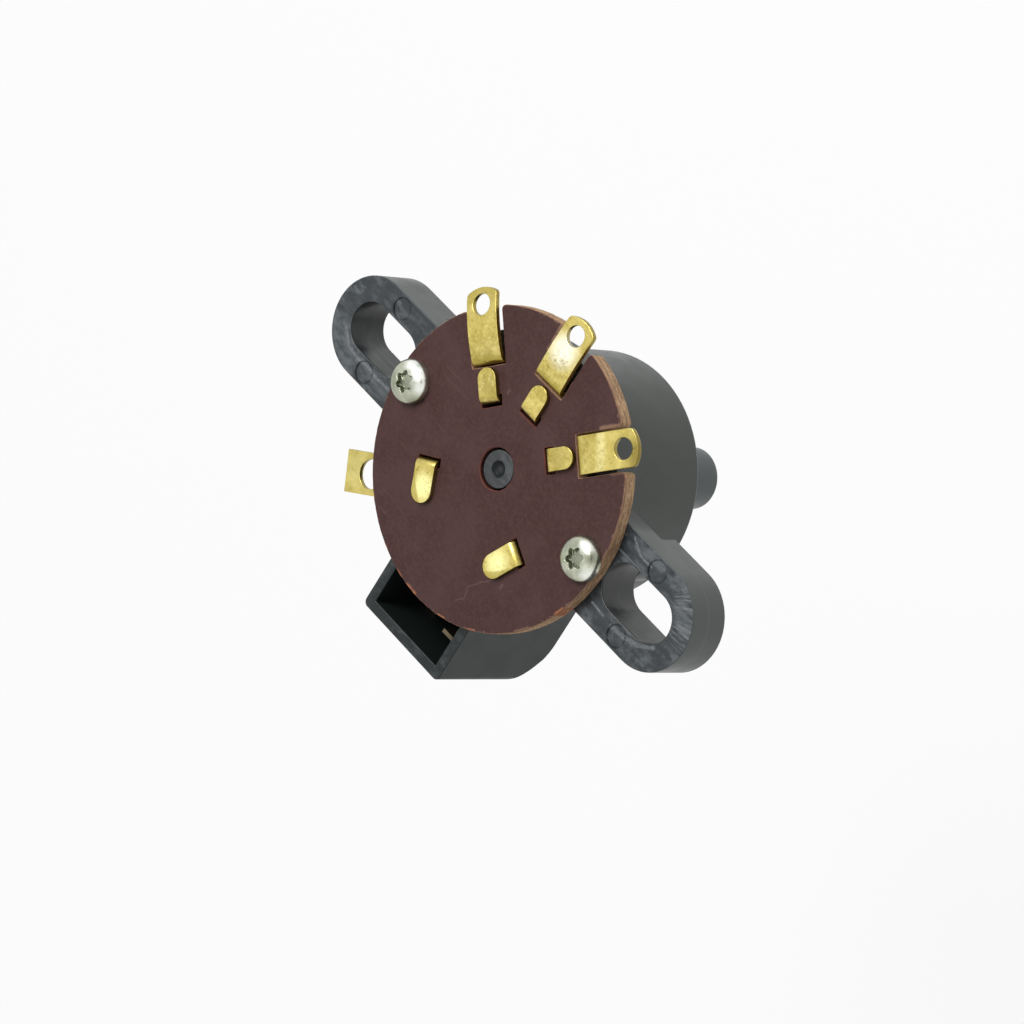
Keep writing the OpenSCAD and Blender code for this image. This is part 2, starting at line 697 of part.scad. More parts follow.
// Height of the wire centre after a share f of the turns; the first and last turn are closed
function coil_share(f, turns) =
    let (closed = 0.9 / turns)
    f < closed ? 0 : f > 1 - closed ? 1 : (f - closed) / (1 - 2 * closed);

// A round wire swept along a coil of radius r and height h, standing on z = 0
module coil(r, h, wire, turns) {
    sides = 8;
    steps = 16 * turns;
    rise = h - 3.4 * wire;
    rings = [for (i = [0 : steps])
        let (f = i / steps, a = 360 * turns * f, first = min(1, f * turns), last = min(1, (1 - f) * turns))
        let (z = wire / 2 + 0.6 * wire + 1.2 * wire * (first - 1) * 0.5 + rise * coil_share(f, turns)
            + 1.2 * wire * (1 - last) * 0.5 + 0.5 * wire * first)
        [for (j = [0 : sides - 1]) let (b = 360 * j / sides)
            [(r + wire / 2 * cos(b)) * cos(a), (r + wire / 2 * cos(b)) * sin(a), z + wire / 2 * sin(b)]]];
    points = [for (ring = rings) each ring];
    skin = [for (i = [0 : steps - 1], j = [0 : sides - 1]) let (k = (j + 1) % sides)
        [i * sides + j, (i + 1) * sides + j, (i + 1) * sides + k, i * sides + k]];
    ends = [[for (j = [0 : sides - 1]) j], [for (j = [sides - 1 : -1 : 0]) steps * sides + j]];
    polyhedron(points, concat(skin, ends));
}

module contact_spring(side)
    color([0.75, 0.76, 0.78]) translate([side * spring_r, 0, spring_pocket_z])
        coil(spring_d / 2 - spring_wire / 2, bridge_low_z - spring_pocket_z, spring_wire, spring_turns);

// Right half of the detent spring, from the nose to the turned-back end, in plan with +Y outwards
leaf_half = concat(
    arc([0, nose_centre_r], leg_x, -90, 0, 10),
    rounded([[leg_x, nose_centre_r + leaf_t], [leg_x, wing_y], [wing_x, wing_y], [wing_x, base_y],
        [wing_x - leaf_end, base_y]], leaf_bend_r));
leaf_path = concat([for (i = [len(leaf_half) - 1 : -1 : 1]) [-leaf_half[i][0], leaf_half[i][1]]], leaf_half);

module detent_spring() {
    color([0.7, 0.69, 0.62]) difference() {
        translate([0, 0, leaf_low_z]) linear_extrude(leaf_tab_z - leaf_low_z)
            mirror([0, 1]) polygon(ribbon(leaf_path, leaf_t));
        translate([-pocket_in_x, -pocket_reach, leaf_top_z])
            cube([pocket_in_x + leaf_tab_x, pocket_reach, mouth_z - leaf_top_z]);
        translate([-pocket_in_x, -pocket_reach, leaf_top_z])
            cube([2 * pocket_in_x, pocket_reach - wing_y - leaf_bend_r, mouth_z - leaf_top_z]);
    }
}

module lobed_recess() {
    lobe_r = screw_head_d * 0.065;
    ring_r = screw_head_d * 0.17;
    circle(ring_r);
    for (i = [0 : 5]) rotate(60 * i) translate([ring_r, 0]) circle(lobe_r, $fn = 24);
}

module plate_screw(side) {
    bevel = screw_head_h * 0.42;
    color([0.78, 0.8, 0.78]) translate([side * screw_r, 0, plate_top_z]) difference() {
        union() {
            cylinder(d = screw_head_d, h = screw_head_h - bevel);
            translate([0, 0, screw_head_h - bevel])
                cylinder(d1 = screw_head_d, d2 = screw_head_d - 2 * bevel, h = bevel);
            translate([0, 0, screw_d / 2 - screw_len])
                cylinder(d = screw_d, h = screw_len - screw_d / 2 + eps);
            translate([0, 0, -screw_len]) cylinder(d1 = 0.3, d2 = screw_d, h = screw_d / 2);
        }
        translate([0, 0, screw_head_h - screw_head_h * 0.6]) linear_extrude(screw_head_h) lobed_recess();
    }
}

housing();
terminal_plate();
rotor();
contact_bridge();
moving_contact(0);  // bridge_contact_a
moving_contact(180);  // bridge_contact_b
contact_spring(1);  // contact_spring_a
contact_spring(-1);  // contact_spring_b
speed_terminal(1, lug_bow_1);  // speed_terminal_1
speed_terminal(2, lug_bow_2);  // speed_terminal_2
speed_terminal(3, lug_bow_3);  // speed_terminal_3
fixed_contact(step_a);  // speed_contact_1
fixed_contact(2 * step_a);  // speed_contact_2
fixed_contact(3 * step_a);  // speed_contact_3
common_terminal();
fixed_contact(step_a + 180);  // common_contact_1
fixed_contact(2 * step_a + 180);  // common_contact_2
fixed_contact(3 * step_a + 180);  // common_contact_3
detent_spring();
plate_screw(-1);  // plate_screw_1
plate_screw(1);  // plate_screw_2
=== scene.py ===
# %% [markdown]
# # A fan rotary switch, seen from its terminal side
#
# The switch is a black moulded cup with two slotted ears. A disc of red-brown phenolic paper closes the
# cup and carries four brass terminals. A spring in a square pocket clicks the rotor from one speed to the
# next. The solids come from the packed model, and this script gives them their looks: it makes the
# surfaces that the eye rests on, and it gives every piece a material worked out from noise and distance.

# %% The packed model and the tools
import bpy
import bmesh
import numpy as np
from mathutils import Matrix, Vector, geometry


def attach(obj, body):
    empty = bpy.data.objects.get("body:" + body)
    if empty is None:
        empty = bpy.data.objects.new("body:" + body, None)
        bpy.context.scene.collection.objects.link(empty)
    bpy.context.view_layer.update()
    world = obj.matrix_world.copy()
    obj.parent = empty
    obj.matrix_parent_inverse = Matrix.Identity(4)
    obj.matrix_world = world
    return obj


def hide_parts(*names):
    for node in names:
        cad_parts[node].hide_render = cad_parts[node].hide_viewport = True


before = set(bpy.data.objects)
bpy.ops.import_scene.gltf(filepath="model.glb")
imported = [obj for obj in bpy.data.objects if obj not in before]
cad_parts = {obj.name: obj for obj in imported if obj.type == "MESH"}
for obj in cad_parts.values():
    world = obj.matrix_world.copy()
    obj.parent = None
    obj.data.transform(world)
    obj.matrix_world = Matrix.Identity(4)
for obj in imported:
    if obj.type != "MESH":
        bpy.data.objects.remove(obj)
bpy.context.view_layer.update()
MM = 0.001
SEED = 7

# %% [markdown]
# ## Sizes that the visible pieces share
#
# Each length is the real part's, in millimetres, so a piece made here meets the solids round it. The
# origin is on the shaft axis in the plane where the ears seat, and Z points up to the solder lugs. The
# speed lugs stand one step apart, in degrees, which is also how far the rotor clicks.

# %% Named sizes
# The terminal plate: radius, thickness and lower face
PLATE_R, PLATE_T, PLATE_LOW = 15.0, 1.5, 4.7
PLATE_TOP = PLATE_LOW + PLATE_T
# The plate's screws: distance from the axis, and radius of their holes
SCREW_R, SCREW_HOLE_R = 13.0, 1.25
# The ears' slots: middle, half the length between the round ends, and radius of the ends
SLOT_X, SLOT_HALF, SLOT_R = 19.4, 2.0, 2.4
# The ejector marks beside each slot: distance from its middle line, and radius
MARK_Y, MARK_R = 3.7, 1.05
STEP = 45.0
SQUARE = ((-1, -1), (1, -1), (1, 1), (-1, 1))
print("plate from z", PLATE_LOW, "to", PLATE_TOP)

# %% [markdown]
# ## The camera
#
# The photograph was taken with a long lens from above and to one side. Its direction was solved from the
# outlines of the plate, the ears and the cup, so the three rows are the camera's right, up and back.

# %% Camera
LENS_MM, SENSOR_MM = 185.5, 36
CAMERA_ROWS = ((0.5947, 0.4905, -0.637), (-0.6212, 0.7833, 0.0232), (0.5103, 0.3819, 0.7705))
CAMERA_SPOT = (0.24768, 0.18055, 0.37425)
lens = bpy.data.cameras.new("camera")
lens.lens = LENS_MM
lens.sensor_width = SENSOR_MM
lens.clip_start, lens.clip_end = 0.01, 10
camera = bpy.data.objects.new("camera", lens)
bpy.context.scene.collection.objects.link(camera)
place = Matrix(CAMERA_ROWS).transposed().to_4x4()
place.translation = Vector(CAMERA_SPOT)
camera.matrix_world = place
bpy.context.scene.camera = camera
print("camera at", [round(v, 3) for v in camera.location])

# %% [markdown]
# ## Helpers for node trees
#
# The world, a material and an effect are all trees of nodes. Written out in full, each node takes several
# lines, so a small class adds one node, or a few that belong together, in one call. A value may be a
# number, a colour, a socket or a node, and it is set or linked as it needs.

# %% Node helpers
class Nodes:
    """Adds nodes to a tree and links them in one call each."""

    def __init__(self, tree):
        self.tree = tree

    def feed(self, node, key, value):
        """Sets or links an input given by its name, or by its number as _0, _1 and so on."""
        socket = node.inputs[int(key[1:]) if key[0] == "_" and key[1:].isdigit() else key]
        if isinstance(value, bpy.types.NodeSocket):
            self.tree.links.new(value, socket)
        elif isinstance(value, bpy.types.Node):
            self.tree.links.new(value.outputs[0], socket)
        else:
            socket.default_value = value

    def add(self, kind, **inputs):
        """A node: set_ before a name means a property, and two underscores in a name mean a space."""
        node = self.tree.nodes.new(kind)
        for key, value in inputs.items():
            if key.startswith("set_"):
                setattr(node, key[4:], value)
            else:
                self.feed(node, key.replace("__", " "), value)
        return node

    def math(self, operation, a, b=0.0):
        """The number that the operation makes of one or two others."""
        return self.add("ShaderNodeMath", set_operation=operation, _0=a, _1=b).outputs[0]

    def vector(self, operation, *values):
        """A vector operation: its number for a dot product or a length, and else its vector."""
        node = self.add("ShaderNodeVectorMath", set_operation=operation)
        for k, value in enumerate(values):
            self.feed(node, "_%d" % k, value)
        return node.outputs["Value" if operation in ("DOT_PRODUCT", "LENGTH", "DISTANCE") else "Vector"]

    def times(self, first, *others):
        """The product of the values."""
        for other in others:
            first = self.math("MULTIPLY", first, other)
        return first

    def most(self, first, *others):
        """The largest of the values."""
        for other in others:
            first = self.math("MAXIMUM", first, other)
        return first

    def lack(self, value):
        """What the value lacks of one."""
        return self.math("SUBTRACT", 1.0, value)

    def hypot(self, a, b):
        """The square root of a squared plus b squared."""
        return self.math("SQRT", self.math("ADD", self.times(a, a), self.times(b, b)))

    def parts(self, vector):
        """The outputs X, Y and Z of a node that takes the vector apart."""
        return self.add("ShaderNodeSeparateXYZ", Vector=vector).outputs

    def ramp(self, value, low, high, to_low=0.0, to_high=1.0):
        """Value taken from low..high to to_low..to_high, smoothly and held at the ends."""
        return self.add("ShaderNodeMapRange", set_interpolation_type="SMOOTHSTEP", Value=value, From__Min=low,
                        From__Max=high, To__Min=to_low, To__Max=to_high).outputs[0]

    def noise(self, vector, scale, detail=3.0, rough=0.55):
        """Noise from 0 to 1, the finer the larger its scale is."""
        return self.add("ShaderNodeTexNoise", Vector=vector, Scale=scale, Detail=detail,
                        Roughness=rough).outputs["Fac"]

    def mix(self, factor, a, b):
        """The colour a mixed to the colour b by the factor."""
        return self.add("ShaderNodeMix", set_data_type="RGBA", _0=factor, _6=a, _7=b).outputs[2]

    def place(self, vector, scale, turn=(0, 0, 0), move=(0, 0, 0)):
        """The vector scaled, turned and moved."""
        return self.add("ShaderNodeMapping", Vector=vector, Scale=scale, Rotation=turn,
                        Location=move).outputs[0]

    def bump(self, shader, height, strength, distance):
        """Gives the shader a relief of the height, over a distance in millimetres."""
        relief = self.add("ShaderNodeBump", Height=height, Strength=strength, Distance=distance * MM)
        self.feed(shader, "Normal", relief)

    def group(self, tree, **inputs):
        """Places a shared effect with its values, and gives its outputs."""
        return self.add("ShaderNodeGroup", set_node_tree=tree, **inputs).outputs

    def strokes(self, here, places):
        """The strongest of the strokes given as (x, y, to x, to y, width), in millimetres."""
        found = 0.0
        for x, y, to_x, to_y, width in places:
            drawn = self.group(stroke, Vector=here, From=(x, y, 0), To=(to_x, to_y, 0), Width=width)
            found = self.most(drawn["Mask"], found)
        return found

    def looked_at(self):
        """One for the camera's rays, also mirrored and refracted, and zero for those that carry light."""
        rays = self.add("ShaderNodeLightPath").outputs
        return self.most(rays["Is Camera Ray"], rays["Is Glossy Ray"], rays["Is Transmission Ray"])


def new_material(name):
    """A material, the helper for its tree, and its Principled shader."""
    material = bpy.data.materials.new(name)
    material.use_nodes = True
    return material, Nodes(material.node_tree), material.node_tree.nodes["Principled BSDF"]


print("node helpers:", [name for name in vars(Nodes) if not name.startswith("_")])

# %% [markdown]
# ## Light and ground
#
# The switch was photographed in a white tent: light comes from everywhere, a little more of it from above
# and behind, and the background burns out to white. Here a pale world fills the tent, one large soft lamp
# gives the gentle shadows to the lower right, and a smaller one puts streaks on the metal. The background
# is white by Light Path, so no extra light has to fall on the object for it.

# %% World and lamps
TENT_WHITE, TENT_LEVEL, SEEN_LEVEL = (1, 1, 1, 1), 0.42, 1.0
world = bpy.data.worlds.new("tent")
world.use_nodes = True
n = Nodes(world.node_tree)
level = n.add("ShaderNodeMapRange", Value=n.looked_at(), To__Min=TENT_LEVEL, To__Max=SEEN_LEVEL)
background = world.node_tree.nodes["Background"]
background.inputs["Color"].default_value = TENT_WHITE
n.feed(background, "Strength", level)
bpy.context.scene.world = world
bpy.context.scene.view_settings.view_transform = "Standard"


def lamp(name, spot, size, power):
    """A square soft lamp at spot, in metres, that looks at the switch."""
    data = bpy.data.lights.new(name, "AREA")
    data.size = size
    data.energy = power
    holder = bpy.data.objects.new(name, data)
    bpy.context.scene.collection.objects.link(holder)
    holder.location = spot
    holder.rotation_mode = "QUATERNION"
    holder.rotation_quaternion = Vector(spot).to_track_quat("Z", "Y")
    return holder


lamp("overhead", spot=(-0.16, 0.26, 0.50), size=0.30, power=2.7)
lamp("streak", spot=(-0.255, -0.16, 0.40), size=0.08, power=0.02)

# %% [markdown]
# ## The dark side of the tent
#
# A tent has an opening for the camera, and the dark room behind it shows in bright metal as a dark patch.
# A dark card just behind the camera does that, and it is too small to take much light off the object.

# %% Card behind the camera
CARD_HALF_W, CARD_HALF_H, CARD_BACK = 75, 55, 12
CARD_DARK = (0.05, 0.06, 0.05, 1)
card_corners = [place @ Vector((x * CARD_HALF_W * MM, y * CARD_HALF_H * MM, CARD_BACK * MM))
                for x, y in SQUARE]
card_mesh = bpy.data.meshes.new("camera_card")
card_mesh.from_pydata(card_corners, [], [(0, 1, 2, 3)])
card = bpy.data.objects.new("camera_card", card_mesh)
bpy.context.scene.collection.objects.link(card)
card_look, n, shader = new_material("card_dark")
shader.inputs["Base Color"].default_value = CARD_DARK
shader.inputs["Roughness"].default_value = 0.9
card_mesh.materials.append(card_look)
print("card behind the camera, mm:", 2 * CARD_HALF_W, "by", 2 * CARD_HALF_H)

# %% [markdown]
# ## Helpers for meshes
#
# A surface is an array of points, rows by columns, turned into four-sided faces. The helper takes whole
# arrays, so the shape stays a formula that can be read, and it closes each row round, because all that is
# made here goes round something. What a mesh holds is read back as whole arrays too.

# %% Mesh helpers
def new_object(name, mesh):
    """An object for the mesh, in the scene, at the origin."""
    made = bpy.data.objects.new(name, mesh)
    bpy.context.scene.collection.objects.link(made)
    return made


def quad_faces(rows, cols):
    """Face corners (i, j), (i+1, j), (i+1, j+1), (i, j+1) of a grid numbered row by row, its rows closed."""
    i, j = np.meshgrid(np.arange(rows - 1), np.arange(cols), indexing="ij")
    j2 = (j + 1) % cols
    return np.stack([i * cols + j, (i + 1) * cols + j, (i + 1) * cols + j2, i * cols + j2], -1).reshape(-1, 4)


def mesh_from(name, points_mm, faces):
    """A mesh from points in millimetres and a list or array of faces."""
    mesh = bpy.data.meshes.new(name)
    mesh.from_pydata((np.asarray(points_mm).reshape(-1, 3) * MM).tolist(), [], [tuple(f) for f in faces])
    mesh.update()
    return mesh


def shade(mesh, angle):
    """Smooth faces, with a sharp edge wherever two faces meet at more than the angle, in radians."""
    mesh.polygons.foreach_set("use_smooth", np.ones(len(mesh.polygons), bool))
    mesh.set_sharp_from_angle(angle=angle)


def read(things, key, width=1, kind=float):
    """One field of all vertices, edges, corners or faces as an array, with a row for each."""
    values = np.empty(len(things) * width, kind)
    things.foreach_get(key, values)
    return values.reshape(-1, width) if width > 1 else values


def dress(made, material, slot, body, *nodes):
    """Gives a piece its material, lets it ride on its body and stand for its CAD nodes; the slot is not used.
    """
    made.data.materials.clear()
    made.data.materials.append(material)
    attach(made, body)
    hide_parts(*nodes)
    print(made.name, "faces:", len(made.data.polygons), "for", ", ".join(nodes))


print("grid of 3 by 4 points has", len(quad_faces(3, 4)), "faces")

# %% [markdown]
# ## Shared effects for the materials
#
# Moulded plastic, phenolic paper and brass all vary a little from place to place, and all carry fine
# scratches. Each effect is built once as a node group that reads Object coordinates and puts out masks, so
# every material can weigh it in its own way.

# %% Effect helper
def effect(name, inputs, outputs):
    """An empty node group with inputs {name: number, or None for a vector} and outputs, and its helper."""
    group = bpy.data.node_groups.new(name, "ShaderNodeTree")
    for key, value in inputs.items():
        kind = "NodeSocketVector" if value is None else "NodeSocketFloat"
        socket = group.interface.new_socket(name=key, in_out="INPUT", socket_type=kind)
        if value is not None:
            socket.default_value = value
    for key in outputs:
        group.interface.new_socket(name=key, in_out="OUTPUT", socket_type="NodeSocketFloat")
    made = Nodes(group)
    return group, made, made.add("NodeGroupInput"), made.add("NodeGroupOutput")


print("an effect's helper gives:", effect.__doc__)

# %% Effect: fine scratches
SCRATCH_TURNS = (0.3, 1.2, 2.3)
scratches, n, given, put = effect("fine_scratches", {"Vector": None, "Density": 0.5}, ["Mask"])
lines = []
for k, turn in enumerate(SCRATCH_TURNS):
    stretched = n.place(given.outputs["Vector"], (90, 2600, 900), (0, 0, turn), (k * 3.1, k * 1.7, 0))
    lines.append(n.ramp(n.noise(stretched, 1.0, 1.0, 0.4), 0.68, 0.76))
patch = n.ramp(n.noise(given.outputs["Vector"], 210.0, 2.0), 0.5, 0.66)
n.feed(put, "Mask", n.times(n.most(*lines), patch, given.outputs["Density"]))
print("group:", scratches.name)

# %% Effect: one stroke, from a place to a place
SHAKE, SHAKE_SCALE = 0.12, 1300.0
stroke, n, given, put = effect("stroke", {"Vector": None, "From": None, "To": None, "Width": 0.2}, ["Mask"])
spot = n.vector("MULTIPLY", given.outputs["Vector"], (1 / MM, 1 / MM, 0))
shake = n.add("ShaderNodeTexNoise", Vector=given.outputs["Vector"], Scale=SHAKE_SCALE).outputs["Color"]
shake = n.vector("MULTIPLY_ADD", shake, (2 * SHAKE, 2 * SHAKE, 0), (-SHAKE, -SHAKE, 0))
out_from = n.vector("SUBTRACT", n.vector("ADD", spot, shake), given.outputs["From"])
along = n.vector("SUBTRACT", given.outputs["To"], given.outputs["From"])
share = n.math("DIVIDE", n.vector("DOT_PRODUCT", out_from, along), n.vector("DOT_PRODUCT", along, along))
share = n.math("MINIMUM", n.most(share, 0.0), 1.0)
reach = n.add("ShaderNodeVectorMath", set_operation="SCALE", _0=along, Scale=share)
off = n.vector("LENGTH", n.vector("SUBTRACT", out_from, reach.outputs[0]))
n.feed(put, "Mask", n.ramp(n.math("DIVIDE", off, given.outputs["Width"]), 0.35, 1.0, 1.0, 0.0))
print("group:", stroke.name)

# %% Effect: mottling on two scales
mottle, n, given, put = effect(
    "mottling", {"Vector": None, "Coarse scale": 300.0, "Fine scale": 3000.0}, ["Coarse", "Fine"])
n.feed(put, "Coarse", n.noise(given.outputs["Vector"], given.outputs["Coarse scale"], 4.0, 0.5))
n.feed(put, "Fine", n.noise(given.outputs["Vector"], given.outputs["Fine scale"], 2.0, 0.5))
print("group:", mottle.name)

# %% What every finish starts from
def surface(n, coarse_scale, fine_scale, scratched):
    """Object coordinates, coarse and fine mottling on them, and scratches of a density."""
    here = n.add("ShaderNodeTexCoord").outputs["Object"]
    spots = n.group(mottle, Vector=here, Coarse__scale=coarse_scale, Fine__scale=fine_scale)
    marks = n.group(scratches, Vector=here, Density=scratched)["Mask"]
    return here, spots["Coarse"], spots["Fine"], marks


def facing_up(n):
    """How far the surface faces up: the height part of its normal."""
    return n.parts(n.add("ShaderNodeNewGeometry").outputs["Normal"])["Z"]


print("effects:", [group.name for group in bpy.data.node_groups])

# %% [markdown]
# ## The moulded black plastic
#
# The cup, ears and rotor are satin black moulding. It looks blue-grey where it mirrors the tent, and it is
# scuffed on the raised faces. Its sides have a lighter colour than its tops, which is painted light, and near
# the spring's pocket it darkens to painted shade. On the ears, thin pale lines of flash were left where the
# mould's inserts met. They start and stop, so they are strokes from place to place with a little shake. A few
# broad lighter strokes on the ears are painted light as well. Beyond one slot the mould left hatching that
# fans out, which is noise read by the angle round a place in the slot. Round the ears' sides a line runs
# where the mould parted, so it needs the height alone. Rings of painted shade round the ejector marks,
# painted shade in the journal's dimple and blotches of painted shade in the slots come from the distance to
# them.

# %% Effect: distance to a mounting slot
slot_line, n, given, put = effect("slot_distance", {"Vector": None}, ["Distance"])
at = n.parts(given.outputs["Vector"])
off_middle = n.math("ABSOLUTE", n.math("SUBTRACT", n.math("ABSOLUTE", at["X"]), SLOT_X * MM))
beyond = n.most(n.math("SUBTRACT", off_middle, SLOT_HALF * MM), 0.0)
away = n.math("SUBTRACT", n.hypot(beyond, at["Y"]), SLOT_R * MM)
n.feed(put, "Distance", n.math("DIVIDE", away, MM))
print("group:", slot_line.name)

# %% Effect: hatching that fans out from the end of a slot
# Where the fan's lines meet, how close and how long they are, its two edges in radians, and its inner end
HATCH_X, HATCH_FINE, HATCH_LONG = SLOT_X + SLOT_HALF - 2.5, 26.0, 0.4
HATCH_START, HATCH_END, HATCH_OUT = (-0.15, 0.15), (0.75, 1.15), (4.4, 5.2)
hatching, n, given, put = effect("hatching", {"Vector": None}, ["Mask"])
at = n.parts(n.vector("MULTIPLY", given.outputs["Vector"], (1 / MM, 1 / MM, 1 / MM)))
dx = n.math("SUBTRACT", at["X"], HATCH_X)
turn = n.math("ARCTAN2", at["Y"], dx)
out = n.hypot(dx, at["Y"])
fan = n.add("ShaderNodeCombineXYZ", X=n.times(turn, HATCH_FINE), Y=n.times(out, HATCH_LONG))
lines = n.ramp(n.noise(fan, 1.0, 3.0, 0.6), 0.44, 0.64)
spread = n.times(n.ramp(turn, *HATCH_START), n.ramp(turn, *HATCH_END, 1.0, 0.0))
patchy = n.ramp(n.noise(given.outputs["Vector"], 420.0, 2.0), 0.3, 0.5, 0.45, 1.0)
n.feed(put, "Mask", n.times(lines, n.times(spread, patchy, n.ramp(out, *HATCH_OUT))))
print("group:", hatching.name)

# %% Marks on the ears
EAR_ROOT_X, PARTING_Z = 14.5, 2.4
SLOT_SHADE = (17.6 * MM, -SLOT_R * MM, 3.4 * MM)
MARK_SPOT = (SLOT_X * MM, MARK_Y * MM, PLATE_LOW * MM)
# The ears' side colour is painted light: their outer sides are lighter than the slot walls, as if lit.
EAR_SIDE_LIT, FLASH_PALE = (0.062, 0.072, 0.066, 1), (0.34, 0.35, 0.36, 1)
# Strokes on the ears, from x, y to x, y and how wide, in millimetres
FLASH_FINE = [(15.4, -3.05, 17.1, -3.2, 0.17), (15.5, 4.45, 17.0, 3.6, 0.15), (17.0, 3.6, 18.6, 3.55, 0.15),
              (-23.7, -1.8, -22.5, -2.85, 0.2), (-22.5, -2.85, -20.8, -3.2, 0.2),
              (-20.8, -3.2, -19.6, -3.0, 0.28), (-19.6, -3.0, -17.85, -3.2, 0.26),
              (-17.85, -3.2, -16.0, -3.1, 0.2)]
FLASH_SOFT = [(18.4, -3.4, 19.8, -3.3, 0.3), (19.8, -3.3, 21.8, -2.8, 0.36), (21.8, -2.8, 23.4, -1.8, 0.3)]
# Painted light: broad lighter strokes where the ears catch more light, laid in with the scuffs.
LIT_PATCHES = [(-24.6, -2.0, -21.6, -4.6, 1.8), (-20.4, -3.4, -16.4, -3.4, 1.0), (16.4, 4.2, 19.6, 4.4, 0.8),
          (23.4, 3.0, 25.2, 1.6, 1.3)]


def ear_lines(n, here, height, fine, top, on_ear):
    """Pale lines: flash and hatching on an ear's top face, and the parting line round its side."""
    drawn = n.most(n.times(n.strokes(here, FLASH_FINE), 0.6), n.times(n.strokes(here, FLASH_SOFT), 0.45))
    flash = n.times(drawn, n.ramp(fine, 0.35, 0.6, 0.5, 1.0))
    fan = n.group(hatching, Vector=here)["Mask"]
    line = n.times(n.most(flash, n.times(fan, 0.6)), top, on_ear)
    off_parting = n.math("ABSOLUTE", n.math("SUBTRACT", height, PARTING_Z * MM))
    parting = n.times(n.ramp(off_parting, 0.05 * MM, 0.3 * MM, 0.17, 0.0), on_ear, n.lack(top))
    return line, parting


def ear_hollows(n, here, across, gap, cloud, top, on_ear):
    """Painted shade: dark rings round the ejector marks on an ear's top face, and dark blotches in its slot.
    """
    # Painted shade: a dark ring at the edge of each ejector mark.
    to_mark = n.vector("SUBTRACT", n.vector("ABSOLUTE", here), MARK_SPOT)
    off_ring = n.math("ABSOLUTE", n.math("SUBTRACT", n.vector("LENGTH", to_mark), MARK_R * MM))
    ring = n.ramp(off_ring, 0.04 * MM, 0.14 * MM, 1.0, 0.0)
    groove_shade = n.times(ring, n.ramp(cloud, 0.3, 0.6, 0.8, 0.35), top)
    # The slot's blotches are painted shade, fuller in the ear at -X and round the spot SLOT_SHADE.
    blotch = n.ramp(n.noise(n.place(here, (420, 420, 900)), 1.0, 3.0), 0.35, 0.6, 0.5, 1.0)
    in_shade = n.ramp(n.vector("DISTANCE", here, SLOT_SHADE), 0.7 * MM, 1.9 * MM, 1.3, 0.0)
    deep = n.most(n.ramp(across, -1 * MM, 1 * MM, 1.0, 0.15), in_shade)
    in_slot = n.times(n.ramp(gap, 0.15, 0.4, 0.95, 0.0), on_ear)
    return groove_shade, n.times(in_slot, n.times(blotch, deep), n.lack(top))


print("strokes on the ears:", len(FLASH_FINE + FLASH_SOFT), "of flash,", len(LIT_PATCHES), "rubbed")

# %% Moulded plastic
DIMPLE_R, POCKET_Y = 0.78, (-15 * MM, -9 * MM)
POCKET_SHADE, GROOVE_SHADE = (0.006, 0.010, 0.010, 1), (0.004, 0.006, 0.008, 1)


